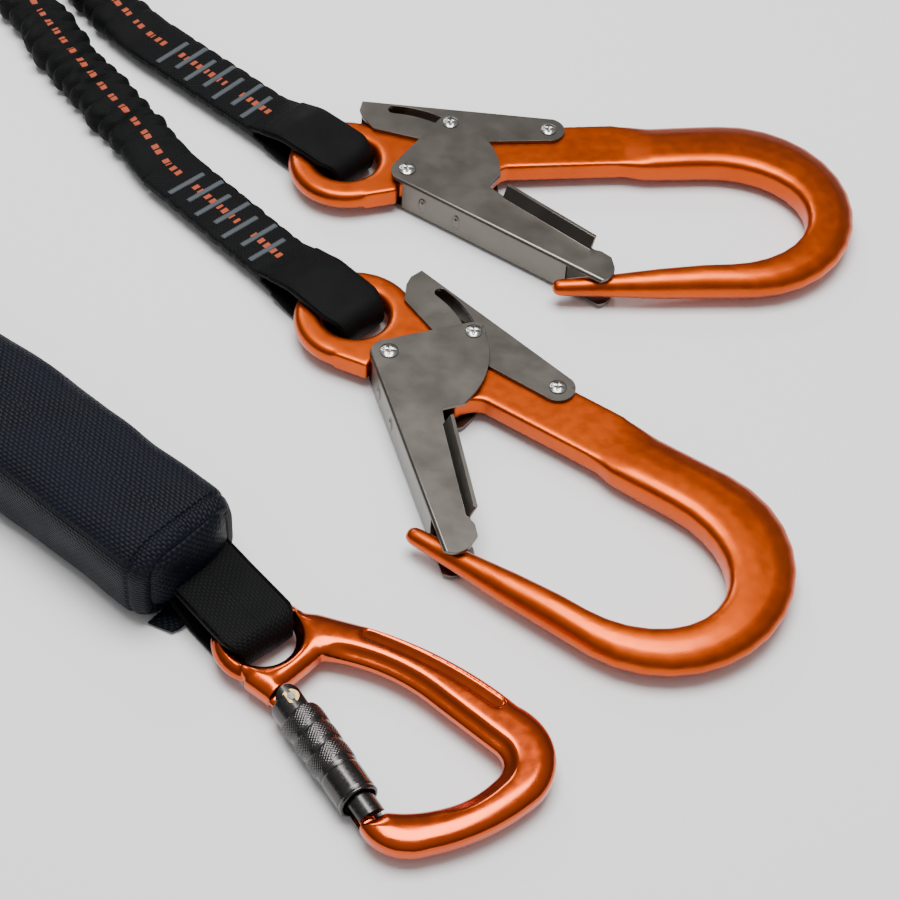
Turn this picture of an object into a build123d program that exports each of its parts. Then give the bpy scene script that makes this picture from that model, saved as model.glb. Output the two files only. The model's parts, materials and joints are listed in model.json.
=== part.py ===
"""Twin-leg shock absorbing lanyard, lying on a flat surface.

Lengths are millimetres.  Each hook is drawn in its own frame: the gate pivot is the
origin, +X runs along the spine to the bend, +Y points to the squeeze lever, and z = 0
is the middle of the hook's thickness.  The carabiner's frame has +X along its spine.
"""
from build123d import *
import math
import os

# Where the parts lie, in one plan.  FRAME_SHIFT moves the plan so that the middle of
# everything but the two elastic legs is over the origin.
FRAME_SHIFT = (88.13, -41.54)
HOOK_MID_HEIGHT = 9.6
HOOKS = {
    "a": {"pivot": (-27.6, 166.2), "turn": 8.02, "strap_heading": 141.0},
    "b": {"pivot": (-28.1, 53.3), "turn": -31.09, "strap_heading": 136.0},
}
CARABINER_PLACE = (-67.5, -89.8)
CARABINER_TURN = -39.0
CARABINER_MID_HEIGHT = 8.5
POUCH_FRONT = (-95.2, -66.8)
POUCH_HEADING = 142.0
LOOP_HEADING = 133.0

# Hook
BODY_THICK = 9.4
BEND_THICK = 14.5
SHEET = 1.5
LEVER_SHEET = 1.4
GATE_HALF = 8.2
LEVER_HALF = 6.4
PIVOT = (0.0, 0.0)
LEVER_PIVOT = (67.2, 25.8)
GUIDE = (22.2, 30.4)
EYE = (-26.5, 12.9)
EYE_INNER_R = 14.0
EYE_OUTER_R = 26.3
SPINE_LOW = 3.4
SPINE_HIGH = 30.3
FLAT_END = 98.0
NOSE_LEVEL = -69.8
WEB_OFFSET = 8.3
WEB_HEADING = -39.3
GATE_TRAVEL = 38.0
FOLD_R = 1.4
LEVER_RATIO = 0.1
PIVOT_SHAFT_R = 3.0
GUIDE_SHAFT_R = 2.1
LEVER_SHAFT_R = 2.5
RUNNING_FIT = 0.05
BODY_TOP_RADIUS = 34.4

# Webbing
WEBBING = 2.7
WEBBING_WIDTH = 28.0
SLEEVE_CLOTH = 0.9
SLEEVE_WIDTH = 31.0
THROAT_HALF = 11.4
STRAP_START = 46.0
STRAP_END = 126.0
STRAP_THICK = 6.0
STRAP_BOTTOM = 4.8
TACK_COUNT = 7
TACK_PITCH = 9.3
TACK_FIRST = 56.0

# Elastic legs: a flat tube of gathered webbing, route points in plan
LEG_WIDTH = 27.0
LEG_HEIGHT = 15.6
LEG_ROUTE = {
    "b": [(-135, 166), (-152, 188), (-172, 212), (-193, 240), (-214, 271), (-238, 306),
          (-285, 344), (-344, 350), (-395, 321), (-417, 267), (-404, 209), (-365, 169),
          (-322, 140)],
    "a": [(-154, 255), (-170, 269), (-187, 290), (-209, 324), (-245, 371), (-302, 392),
          (-362, 384), (-415, 353), (-448, 302), (-455, 242), (-432, 186), (-395, 146),
          (-346, 112)],
}

# Carabiner
CARABINER_THICK = 11.0
RING_THICK = 9.6
POCKET_DEEP = 1.2
RING_CENTRE = (3.4, -1.35)
RING_INNER_R = 12.5
RING_OUTER_R = 19.8
HINGE = (31.4, -14.8)
BARREL_HEADING = -15.6
BARREL_R = 5.8
BARREL_END = 57.8
SLEEVE_INNER_R = 6.9
SLEEVE_OUTER_R = 8.0
SLEEVE_START = 7.0
SLEEVE_STOP = 49.0
COLLAR_START = 44.3
PLUNGER_BORE_R = 2.3
PLUNGER_BORE_END = 28.0
TONGUE_THICK = 4.8
FORK_GAP = 5.4

# Absorber
POUCH_LENGTH = 248.0
POUCH_WIDTH = 52.0
POUCH_HEIGHT = 39.0
POUCH_WALL = 1.5
FRONT_WEBBING = 3.0
FRONT_WIDTH = 32.0


def along(heading, distance):
    """A plan vector of this length in this heading."""
    angle = math.radians(heading)
    return (distance * math.cos(angle), distance * math.sin(angle))


def shifted(point, heading, distance):
    """A plan point moved along a heading."""
    step = along(heading, distance)
    return (point[0] + step[0], point[1] + step[1])


def on_circle(centre, radius, angle):
    """The point of a circle at an angle in degrees."""
    return shifted(centre, angle, radius)


def face_of(*curves):
    """A flat face bounded by curves that follow each other."""
    edges = []
    for curve in curves:
        edges.extend(curve.edges())
    return Face(Wire(edges))


def slab(face, low, high):
    """A flat face in the XY plane given thickness from low to high."""
    return extrude(face.moved(Location((0, 0, low))), amount=high - low, dir=(0, 0, 1))


def peg(centre, radius, low, high):
    """A vertical cylinder."""
    place = Location((centre[0], centre[1], (low + high) / 2))
    return Cylinder(radius, high - low).moved(place)


def placed(shape, place, height, turn):
    """Move a shape from its own frame to the shared frame."""
    x = place[0] + FRAME_SHIFT[0]
    y = place[1] + FRAME_SHIFT[1]
    return shape.moved(Location((x, y, height), (0, 0, turn)))


def save(name, *solids):
    """Write one node, which may be a group of separate solids."""
    shape = solids[0] if len(solids) == 1 else Compound(children=list(solids))
    export_step(shape, f"parts/{name}.step")
    print(f"{name}: {sum(solid.volume for solid in solids):.0f} mm3")


def rivet(shaft_r, head_r, grip_half, head_high=1.35):
    """A rivet with a low domed head at each end, about the Z axis."""
    rim = 0.45
    dome = head_high - rim
    pin = Cylinder(shaft_r, 2 * grip_half)
    for side in (1, -1):
        disc = Cylinder(head_r, rim).moved(Location((0, 0, side * (grip_half + rim / 2))))
        tip = Cone(head_r, head_r * 0.55, dome)
        tip = tip.moved(Location((0, 0, grip_half + rim + dome / 2)))
        if side < 0:
            tip = tip.moved(Location((0, 0, 0), (180, 0, 0)))
        pin += disc + tip
    return pin


# ---------------------------------------------------------------- hook body

def eye_ring():
    """The eye: a flat ring with rounded edges."""
    width = EYE_OUTER_R - EYE_INNER_R
    section = RectangleRounded(width, BODY_THICK, 3.6)
    middle = (EYE_OUTER_R + EYE_INNER_R) / 2
    upright = Plane.XZ.location * Location((middle, 0, 0)) * section
    return revolve(upright, axis=Axis.Z).moved(Location((EYE[0], EYE[1], 0)))


def body_plate():
    """The flat plate: eye neck, pivot boss and spine, notched round the guide rivet."""
    middle_r = (EYE_OUTER_R + EYE_INNER_R) / 2
    ring_low = on_circle(EYE, middle_r, -70)
    ring_mid = on_circle(EYE, middle_r, -5)
    ring_high = on_circle(EYE, middle_r, 60)
    notch_low = on_circle(PIVOT, BODY_TOP_RADIUS, math.degrees(math.atan2(GUIDE[1], GUIDE[0])))
    top_mid = on_circle(PIVOT, BODY_TOP_RADIUS, 79.5)
    top_end = on_circle(PIVOT, BODY_TOP_RADIUS, 105)
    outline = face_of(
        Polyline(ring_low, (-19.9, -12.4), (-4.6, -9.6), (-4.6, -4.3)),
        ThreePointArc((-4.6, -4.3), (-1.6, -6.1), (1.9, -6.0)),
        Line((1.9, -6.0), (38, -6.0)),
        ThreePointArc((38, -6.0), (40.6, -0.4), (46, SPINE_LOW)),
        Polyline((46, SPINE_LOW), (FLAT_END, SPINE_LOW), (FLAT_END, SPINE_HIGH),
                 (25.4, SPINE_HIGH)),
        ThreePointArc((25.4, SPINE_HIGH), (24.3, 28.0), notch_low),
        ThreePointArc(notch_low, top_mid, top_end),
        Polyline(top_end, (-14, 33), ring_high),
        ThreePointArc(ring_high, ring_mid, ring_low),
    )
    return slab(outline, -BODY_THICK / 2, BODY_THICK / 2)


# Half cross-sections of the body from the inner to the outer edge, as parts of the
# width across and of half the thickness.
FLAT_SECTION = ((-0.5, 0.0), (-0.5, 0.82), (-0.47, 1.0), (-0.3, 1.0), (0.0, 1.0),
                (0.3, 1.0), (0.47, 1.0), (0.5, 0.82), (0.5, 0.0))
DOMED_SECTION = ((-0.5, 0.0), (-0.49, 0.6), (-0.43, 0.88), (-0.32, 1.0), (-0.08, 0.99),
                 (0.18, 0.88), (0.37, 0.62), (0.47, 0.32), (0.5, 0.0))
ROUND_SECTION = ((-0.5, 0.0), (-0.462, 0.383), (-0.354, 0.707), (-0.191, 0.924), (0.0, 1.0),
                 (0.191, 0.924), (0.354, 0.707), (0.462, 0.383), (0.5, 0.0))


def blended(first, second, share):
    """A half section that is partly the first and partly the second."""
    return [(a * (1 - share) + c * share, b * (1 - share) + d * share)
            for (a, b), (c, d) in zip(first, second)]


def bend_section(outer, inner, thick, shape):
    """One cross-section of the bend, standing on the line from inner to outer edge."""
    across = Vector(outer[0] - inner[0], outer[1] - inner[1], 0)
    middle = ((outer[0] + inner[0]) / 2, (outer[1] + inner[1]) / 2, 0)
    heading = across.normalized().cross(Vector(0, 0, 1))
    plane = Plane(origin=middle, x_dir=across, z_dir=heading)
    upper = [(a * across.length, b * thick / 2) for a, b in shape]
    lower = [(x, -z) for x, z in reversed(upper[1:-1])]
    corners = [*upper, *lower, upper[0]]
    return plane.location * Face(Wire(Polyline(*reversed(corners)).edges()))


def body_bend():
    """The thick half-round bend and the tapering nose."""
    root = 0.06
    thicken = ((94, root, SPINE_LOW + root, BODY_THICK - root, 0),
               (101, 0, 2.8, BODY_THICK + 0.4, 0.25), (108, 0, 0.9, 12.0, 0.7),
               (114, 0, 0.6, 13.8, 1))
    sections = [bend_section((x, SPINE_HIGH - inset), (x, low), thick,
                             blended(FLAT_SECTION, DOMED_SECTION, share))
                for x, inset, low, thick, share in thicken]
    sections.append(bend_section((132, 30.5), (126, 0.5), BEND_THICK, DOMED_SECTION))
    for angle in range(90, -91, -12):
        turn = math.radians(angle)
        outer = (147.7 + 52.5 * math.cos(turn), -23.7 + 54.3 * math.sin(turn))
        inner = (136.3 + 40.9 * math.cos(turn), -31.3 + 31.7 * math.sin(turn))
        share = max(0.0, -math.sin(turn)) * 0.35
        shape = blended(DOMED_SECTION, ROUND_SECTION, share)
        sections.append(bend_section(outer, inner, BEND_THICK, shape))
    nose = ((125, 7.3, 0.6), (105, 6.6, 0.8), (85, 5.2, 1), (70, 4.3, 1), (60.5, 3.75, 1),
            (58.6, 2.9, 1), (57.8, 1.4, 1))
    for x, half, share in nose:
        shape = blended(DOMED_SECTION, ROUND_SECTION, share)
        sections.append(bend_section((x, NOSE_LEVEL - half), (x, NOSE_LEVEL + half),
                                     2 * half, shape))
    return loft(sections, ruled=True)


def hook_body():
    """The forged body with its eye, spine, bend and nose."""
    body = eye_ring() + body_plate() + body_bend()
    body -= peg(PIVOT, PIVOT_SHAFT_R + RUNNING_FIT, -BEND_THICK, BEND_THICK)
    body -= peg(LEVER_PIVOT, LEVER_SHAFT_R + RUNNING_FIT, -BEND_THICK, BEND_THICK)
    return body


# ---------------------------------------------------------------- gate and lever

def web_point(distance, inset=0.0):
    """A plan point on the gate's web, by its distance from the pivot's foot."""
    foot = shifted(PIVOT, WEB_HEADING - 90, WEB_OFFSET - inset)
    return shifted(foot, WEB_HEADING, distance)


def gate_plate(low, high):
    """One side plate of the gate: wide at the pivots, with a long arm to the nose."""
    outline = face_of(
        ThreePointArc((-5, 4.9), (-7.4, -1.0), web_point(0)),
        Polyline(web_point(0), web_point(107.5), (81.0, -73.6)),
        ThreePointArc((81.0, -73.6), (84.3, -70.0), (85, -65)),
        Polyline((85, -65), (84.6, -60.5), (80.5, -56.4), (78, -55.5), (40, -18),
                 (36, -13.5), (41.6, -5.8)),
        ThreePointArc((41.6, -5.8), (39.2, 15.05), (27.0, 32.2)),
        ThreePointArc((27.0, 32.2), (23.2, 35.8), (18, 33.9)),
        Line((18, 33.9), (-5, 4.9)),
    )
    plate = slab(outline, low, high)
    plate -= peg(PIVOT, PIVOT_SHAFT_R + RUNNING_FIT, low - 1, high + 1)
    return plate - peg(GUIDE, GUIDE_SHAFT_R + RUNNING_FIT, low - 1, high + 1)


def gate_web():
    """The web that joins the two side plates and ends short of the nose."""
    outline = face_of(Polyline(web_point(3.2), web_point(90), web_point(90, SHEET),
                               web_point(3.2, SHEET), web_point(3.2)))
    return slab(outline, -GATE_HALF, GATE_HALF)


def gate_lip():
    """The raised thumb lip along the inner edge of the upper plate."""
    length = 49.0
    rise = 5.3
    spread = 2.9
    start = shifted(shifted(PIVOT, -45, 43.5), 45, 15.9)
    across = along(45, 1.0)
    heading = along(-45, 1.0)
    plane = Plane(origin=(start[0], start[1], GATE_HALF - SHEET),
                  x_dir=(across[0], across[1], 0), z_dir=(heading[0], heading[1], 0))
    upright = 1.0 if plane.y_dir.Z > 0 else -1.0
    corners = [(-SHEET, 0), (0, 0), (spread, SHEET + rise), (spread - SHEET, SHEET + rise),
               (-SHEET, SHEET), (-SHEET, 0)]
    outline = Polyline(*[(x, y * upright) for x, y in corners])
    profile = plane.location * Face(Wire(outline.edges()))
    return extrude(profile, amount=length, dir=(heading[0], heading[1], 0))


def gate_channel():
    """The pressed steel gate: two plates, a web and the thumb lip."""
    upper = gate_plate(GATE_HALF - SHEET, GATE_HALF)
    lower = gate_plate(-GATE_HALF, SHEET - GATE_HALF)
    channel = upper + lower + gate_web()
    web_middle = Vector(*web_point(53), 0)
    folds = [edge for edge in channel.edges()
             if edge.length > 100 and abs(edge.center().Z) > GATE_HALF - 0.1
             and (Vector(edge.center().X, edge.center().Y, 0) - web_middle).length < 4]
    return fillet(folds, FOLD_R) + gate_lip()


def guide_trace(gate_turn):
    """Where the guide rivet is in the lever's frame when the gate has turned."""
    angle = math.radians(gate_turn)
    x = GUIDE[0] * math.cos(angle) - GUIDE[1] * math.sin(angle)
    y = GUIDE[0] * math.sin(angle) + GUIDE[1] * math.cos(angle)
    back = math.radians(-gate_turn * LEVER_RATIO)
    dx = x - LEVER_PIVOT[0]
    dy = y - LEVER_PIVOT[1]
    return (LEVER_PIVOT[0] + dx * math.cos(back) - dy * math.sin(back),
            LEVER_PIVOT[1] + dx * math.sin(back) + dy * math.cos(back))


def lever_outline():
    """The lever's side view, from the palm end to the pivot."""
    return face_of(
        Polyline((-17, 49), (-18.6, 43), (-17.5, 38), (-13, 30), (9, 21.5), (37, 18.9),
                 (66, 18.4)),
        ThreePointArc((66, 18.4), (74.6, 26.6), (70, 32.9)),
        Line((70, 32.9), (-17, 49)),
    )


def squeeze_lever():
    """The folded steel lever: two plates with a curved slot and a web in the palm."""
    outline = lever_outline()
    lever = slab(outline, -LEVER_HALF, LEVER_HALF)
    inner_half = LEVER_HALF - LEVER_SHEET
    hollow = face_of(Polyline((-30, 20), (-30, 50.0), (-17, 47.58), (70, 31.48), (80, 29.6),
                              (80, 10), (-30, 10), (-30, 20)))
    lever -= slab(hollow, -inner_half, inner_half)
    slot_path = ThreePointArc(guide_trace(-0.5), guide_trace(GATE_TRAVEL / 2),
                              guide_trace(GATE_TRAVEL + 4))
    slot = SlotArc(slot_path, 2 * GUIDE_SHAFT_R + 0.9)
    lever -= slab(slot.face(), -LEVER_HALF - 1, LEVER_HALF + 1)
    return lever - peg(LEVER_PIVOT, LEVER_SHAFT_R + RUNNING_FIT, -10, 10)


def spacer_washers():
    """Two washers that centre the body between the gate's plates."""
    gap_low = BODY_THICK / 2 + 0.05
    gap_high = GATE_HALF - SHEET - 0.05
    washers = []
    for side in (1, -1):
        low, high = sorted((side * gap_low, side * gap_high))
        washer = peg(PIVOT, 4.1, low, high)
        washers.append(washer - peg(PIVOT, PIVOT_SHAFT_R + RUNNING_FIT, low - 1, high + 1))
    return washers


def wire_rod(start, heading, length, height, radius):
    """A straight stretch of spring wire."""
    step = along(heading, 1.0)
    plane = Plane(origin=(start[0], start[1], height), z_dir=(step[0], step[1], 0))
    return extrude(plane.location * Circle(radius), amount=length,
                   dir=(step[0], step[1], 0))


def gate_spring():
    """Two turns of wire round the gate pivot with one leg to the web and one to the spine."""
    wire = 0.4
    coil_r = 4.95
    spring = Torus(coil_r, wire).moved(Location((0, 0, 5.3)))
    spring += Torus(coil_r, wire).moved(Location((0, 0, 6.0)))
    spring += wire_rod(on_circle(PIVOT, coil_r, WEB_HEADING - 90), WEB_HEADING, 15, 5.3, wire)
    spring += wire_rod(on_circle(PIVOT, coil_r, 90), 0, 12, 6.0, wire)
    return spring


def lever_spring():
    """A leaf spring between the body's upper edge and the lever's web."""
    thick = 0.7
    path = FilletPolyline((57, 30.8), (46, 31.0), (31, 34.9), (21, 39.2), radius=[20, 20])
    leaf = face_of(trace(path, line_width=thick))
    return slab(leaf, -3.8, 3.8)


# ---------------------------------------------------------------- webbing at the hooks

def strip(path, thickness, width):
    """A strap standing on edge in the XZ plane, given width across."""
    flat = trace(path, line_width=thickness).face()
    upright = Plane.XZ.location * flat
    return extrude(upright, amount=width / 2, both=True)


def throat_plan(throat_half, open_half, length):
    """The plan of a strap: narrow inside the eye, full width outside it."""
    outline = face_of(Polyline(
        (-12, -throat_half), (2, -throat_half), (13, -open_half), (length, -open_half),
        (length, open_half), (13, open_half), (2, throat_half), (-12, throat_half),
        (-12, -throat_half)))
    return slab(outline, -5, 60)


def eye_loop():
    """The webbing loop through the hook's eye."""
    low = 2.95
    high = 16.25
    bend = (high - low) / 2 - 0.02
    left = 1.5 - (high - low) / 2
    join = STRAP_BOTTOM + STRAP_THICK / 2
    path = FilletPolyline((STRAP_START, join + 1.45), (27, high), (left, high), (left, low),
                          (27, low), (STRAP_START, join - 1.45), radius=[18, bend, bend, 18])
    return strip(path, WEBBING, 60) & throat_plan(THROAT_HALF, WEBBING_WIDTH / 2, STRAP_START)


def wear_sleeve():
    """The tubular cover that guards the loop where it bears on the eye."""
    gap = 0.02
    reach = WEBBING / 2 + SLEEVE_CLOTH / 2 + gap
    low = 2.95 - reach
    high = 16.25 + reach
    bend = (high - low) / 2 - 0.02
    left = 1.5 - (high - low) / 2
    path = FilletPolyline((36, high - 2.6), (27.4, high), (left, high), (left, low),
                          (27.4, low), (36, low + 2.6), radius=[18, bend, bend, 18])
    return strip(path, SLEEVE_CLOTH, 60) & throat_plan(THROAT_HALF, SLEEVE_WIDTH / 2, 60)


def sewn_strap():
    """The layers sewn flat behind the loop."""
    length = STRAP_END - STRAP_START
    block = Box(length, WEBBING_WIDTH, STRAP_THICK)
    middle = (STRAP_START + STRAP_END) / 2
    return block.moved(Location((middle, 0, STRAP_BOTTOM + STRAP_THICK / 2)))


def bar_tacks():
    """Seven raised rows of thread across the sewn layers."""
    tacks = []
    top = STRAP_BOTTOM + STRAP_THICK
    for index in range(TACK_COUNT):
        tack = Box(2.0, 23.0, 0.6)
        tacks.append(tack.moved(Location((TACK_FIRST + TACK_PITCH * index, 0, top + 0.3))))
    return tacks


def elastic_leg(points):
    """A gathered elastic leg laid along its route, flat side down."""
    radii = []
    for before, corner, after in zip(points, points[1:], points[2:]):
        first = Vector(*corner) - Vector(*before)
        second = Vector(*after) - Vector(*corner)
        turn = math.radians(first.get_angle(second))
        radii.append(0.45 * min(first.length, second.length) / math.tan(turn / 2))
    centre_high = LEG_HEIGHT / 2 + 0.2
    route = [(x + FRAME_SHIFT[0], y + FRAME_SHIFT[1], centre_high) for x, y in points]
    path = FilletPolyline(*route, radius=radii)
    start = Plane(origin=path @ 0, x_dir=(0, 0, 1), z_dir=path % 0)
    section = start.location * RectangleRounded(LEG_HEIGHT, LEG_WIDTH, 6.5)
    leg = sweep(section, path=path)
    expected = section.area * path.length
    print("radii", [round(radius) for radius in radii], "length", round(path.length),
          "volume ratio", round(leg.volume / expected, 4))
    return leg


# ---------------------------------------------------------------- carabiner

def carabiner_outline():
    """The frame's side view: spine, wide end and nose, open along the gate."""
    nose_r = BARREL_END + 1.1
    nose_high = on_circle(HINGE, nose_r, -10.6)
    nose_mid = on_circle(HINGE, nose_r, -16)
    nose_low = on_circle(HINGE, nose_r, -21.5)
    return face_of(
        Polyline((25, -10.5), (25.2, 8.3)),
        ThreePointArc((25.2, 8.3), (44, 17.6), (70, 21.3)),
        Line((70, 21.3), (99, 21.4)),
        ThreePointArc((99, 21.4), (106.4, 18.6), (108.6, 11.5)),
        ThreePointArc((108.6, 11.5), (103.6, -9.2), nose_high),
        ThreePointArc(nose_high, nose_mid, nose_low),
        ThreePointArc(nose_low, (101.7, -36.0), (111, -27)),
        ThreePointArc((111, -27), (122.8, -1.3), (125.8, 17)),
        ThreePointArc((125.8, 17), (116, 36.8), (94, 41.8)),
        ThreePointArc((94, 41.8), (60, 39.2), (28.3, 29.4)),
        Polyline((28.3, 29.4), (10.6, 21.0), (4, 16), (14, 0), (8, -17.5), (12.8, -20.8),
                 (25, -20.2), (25, -10.5)),
    )


def carabiner_ring():
    """The captive eye for the absorber's webbing."""
    width = RING_OUTER_R - RING_INNER_R
    section = RectangleRounded(width, RING_THICK, 3.2)
    middle = (RING_OUTER_R + RING_INNER_R) / 2
    upright = Plane.XZ.location * Location((middle, 0, 0)) * section
    ring = revolve(upright, axis=Axis.Z)
    return ring.moved(Location((RING_CENTRE[0], RING_CENTRE[1], 0)))


def tongue_outline():
    """The hinge tongue at the end of the neck."""
    return face_of(
        Polyline((22, -9.8), (22, -20.0), (31.4, -20.3)),
        ThreePointArc((31.4, -20.3), (36.9, -14.8), (31.4, -9.3)),
        Line((31.4, -9.3), (22, -9.8)),
    )


def gate_frame_point(reach, side):
    """A plan point given along and across the carabiner gate."""
    return shifted(shifted(HINGE, BARREL_HEADING, reach), BARREL_HEADING + 90, side)


def latch_tongue():
    """The nose's tongue, with an open notch that holds the latch pin."""
    notch_r = 1.4
    top = 1.0
    pin_reach = 54.0
    outline = face_of(
        Polyline(gate_frame_point(pin_reach - notch_r, top),
                 gate_frame_point(50.8, top), gate_frame_point(50.8, -4.2),
                 gate_frame_point(63, -5.0), gate_frame_point(63, top),
                 gate_frame_point(pin_reach + notch_r, top)),
        ThreePointArc(gate_frame_point(pin_reach + notch_r, top),
                      gate_frame_point(pin_reach, top - notch_r),
                      gate_frame_point(pin_reach - notch_r, top)),
    )
    return slab(outline, -2.0, 2.0)


def carabiner_body():
    """The forged aluminium frame of the carabiner."""
    half = CARABINER_THICK / 2
    frame = slab(carabiner_outline(), -half, half)
    frame -= peg(RING_CENTRE, RING_INNER_R + 3.0, -20, 20)
    body = frame + carabiner_ring()
    body -= peg(RING_CENTRE, RING_INNER_R, -20, 20)
    body += slab(tongue_outline(), -TONGUE_THICK / 2, TONGUE_THICK / 2)
    body += latch_tongue()
    pocket = SlotArc(ThreePointArc((32, 26.0), (60, 33.6), (88, 36.4)), 6.2).face()
    for low, high in ((half - POCKET_DEEP, half + 1), (-half - 1, POCKET_DEEP - half)):
        body -= slab(pocket, low, high)
    return body - peg(HINGE, 1.6, -20, 20)


def along_gate(shape):
    """Lay a shape that stands on the Z axis along the carabiner's gate."""
    upright = Location((0, 0, 0), (0, 90, 0))
    return shape.moved(Location((HINGE[0], HINGE[1], 0), (0, 0, BARREL_HEADING)) * upright)


def tube(outer_r, inner_r, start, stop):
    """A tube on the Z axis."""
    middle = Location((0, 0, (start + stop) / 2))
    ring = Cylinder(outer_r, stop - start) - Cylinder(inner_r, stop - start + 2)
    return ring.moved(middle)


def gate_barrel():
    """The turned gate: forked at the hinge and slotted at the latch."""
    root = 6.4
    barrel = peg((0, 0), BARREL_R, -BARREL_R, BARREL_END)
    barrel = along_gate(barrel + tube(6.6, 4.0, COLLAR_START, COLLAR_START + 1.8))
    rounding = peg(HINGE, BARREL_R, -BARREL_R, BARREL_R)
    shank = along_gate(peg((0, 0), 20, 0, BARREL_END))
    barrel = barrel & (rounding + shank)
    fork = face_of(Polyline(*[gate_frame_point(*corner) for corner in
                              ((-9, -9), (root, -9), (root, 9), (-9, 9), (-9, -9))]))
    barrel -= slab(fork, -FORK_GAP / 2, FORK_GAP / 2)
    latch = face_of(Polyline(*[gate_frame_point(*corner) for corner in
                               ((49.8, -9), (70, -9), (70, 9), (49.8, 9), (49.8, -9))]))
    barrel -= slab(latch, -2.4, 2.4)
    barrel -= peg(gate_frame_point(54.0, 1.0), 1.0, -4.4, 4.4)
    barrel -= along_gate(peg((0, 0), PLUNGER_BORE_R, root - 1, PLUNGER_BORE_END))
    return barrel - peg(HINGE, 1.6, -20, 20)


def locking_sleeve():
    """The knurled sleeve with a skirt over the outer side of the hinge."""
    sleeve = tube(SLEEVE_OUTER_R, SLEEVE_INNER_R, -1.0, SLEEVE_STOP)
    for centre, high in ((10.8, 7.4), (20.0, 7.4), (29.2, 7.4)):
        sleeve += tube(SLEEVE_OUTER_R + 0.45, SLEEVE_OUTER_R - 0.3, centre - high / 2,
                       centre + high / 2)
    sleeve = along_gate(sleeve)
    window = face_of(Polyline(*[gate_frame_point(*corner) for corner in
                                ((-3, -2.5), (SLEEVE_START, -2.5), (SLEEVE_START, 10),
                                 (-3, 10), (-3, -2.5))]))
    return sleeve - slab(window, -10, 10)


def hinge_washers():
    """Two brass washers let into the fork round the hinge rivet."""
    washers = []
    for side in (1, -1):
        low, high = sorted((side * 5.05, side * 5.75))
        washers.append(peg(HINGE, 3.1, low, high) - peg(HINGE, 1.6, low - 1, high + 1))
    return washers


def barrel_spring(start, stop, radius, wire, turns):
    """A short compression spring, drawn as joined rings on the Z axis."""
    pitch = (stop - start) / turns
    spring = None
    for turn in range(turns):
        height = start + pitch * (turn + 0.5)
        ring = Torus(radius, wire).moved(Location((0, 0, height)))
        spring = ring if spring is None else spring + ring
    return spring


def joined_spring(start, stop, radius, wire, turns):
    """Spring rings tied by a thin rod along one side, so that they are one solid."""
    rings = barrel_spring(start, stop, radius, wire, turns)
    rod = Cylinder(wire * 0.6, stop - start - wire)
    return rings + rod.moved(Location((radius, 0, (start + stop) / 2)))


# ---------------------------------------------------------------- absorber

def pouch_frame(shape):
    """Place a shape whose X runs back from the front of the pouch."""
    return placed(shape, POUCH_FRONT, 0, POUCH_HEADING)


def pouch_section(inset):
    """The pouch's cross-section, drawn in the YZ plane."""
    section = RectangleRounded(POUCH_WIDTH - 2 * inset, POUCH_HEIGHT - 2 * inset,
                               9.0 - inset)
    upright = Plane.YZ.location * section
    return upright.moved(Location((0, 0, POUCH_HEIGHT / 2)))


def pouch_block(inset, start, stop):
    """A stretch of the pouch's section."""
    face = pouch_section(inset).moved(Location((start, 0, 0)))
    return extrude(face, amount=stop - start, dir=(1, 0, 0))


def pouch_box(start, stop, half_width, low, high):
    """A box across the pouch's middle."""
    block = Box(stop - start, 2 * half_width, high - low)
    return block.moved(Location(((start + stop) / 2, 0, (low + high) / 2)))


def absorber_cover():
    """The sewn cover, a sleeve open at both ends."""
    return pouch_block(0, 0, POUCH_LENGTH) - pouch_block(POUCH_WALL, -1, POUCH_LENGTH + 1)


def end_panel(start, slot_low, slot_high, slot_half):
    """The gathered cloth that closes one end of the cover round its webbing."""
    panel = pouch_block(POUCH_WALL, start, start + 2.0)
    return panel - pouch_box(start - 1, start + 3, slot_half, slot_low, slot_high)


def front_loop():
    """The wide webbing loop through the carabiner's eye."""
    low = CARABINER_MID_HEIGHT - RING_THICK / 2 - 0.4 - FRONT_WEBBING / 2
    high = CARABINER_MID_HEIGHT + RING_THICK / 2 + 0.5 + FRONT_WEBBING / 2
    bend = (high - low) / 2 - 0.02
    left = 4.0 - (high - low) / 2
    path = FilletPolyline((62, 16.6), (40, high), (left, high), (left, low),
                          (26, low), (42, 7.5), (62, 8.0), radius=[18, bend, bend, 18, 18])
    plan = throat_plan(10.2, FRONT_WIDTH / 2, 80)
    return strip(path, FRONT_WEBBING, 60) & plan


def root_strap(end_point, low, high):
    """A strap from inside the rear of the pouch to the end of one leg."""
    rear = shifted(POUCH_FRONT, POUCH_HEADING, POUCH_LENGTH)
    run = Vector(end_point[0] - rear[0], end_point[1] - rear[1], 0)
    heading = math.degrees(math.atan2(run.Y, run.X))
    inside = 12.0
    block = Box(run.length + inside, WEBBING_WIDTH - 4, high - low)
    block = block.moved(Location(((run.length - inside) / 2, 0, (low + high) / 2)))
    return placed(block, rear, 0, heading)


# ---------------------------------------------------------------- the assembly

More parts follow.
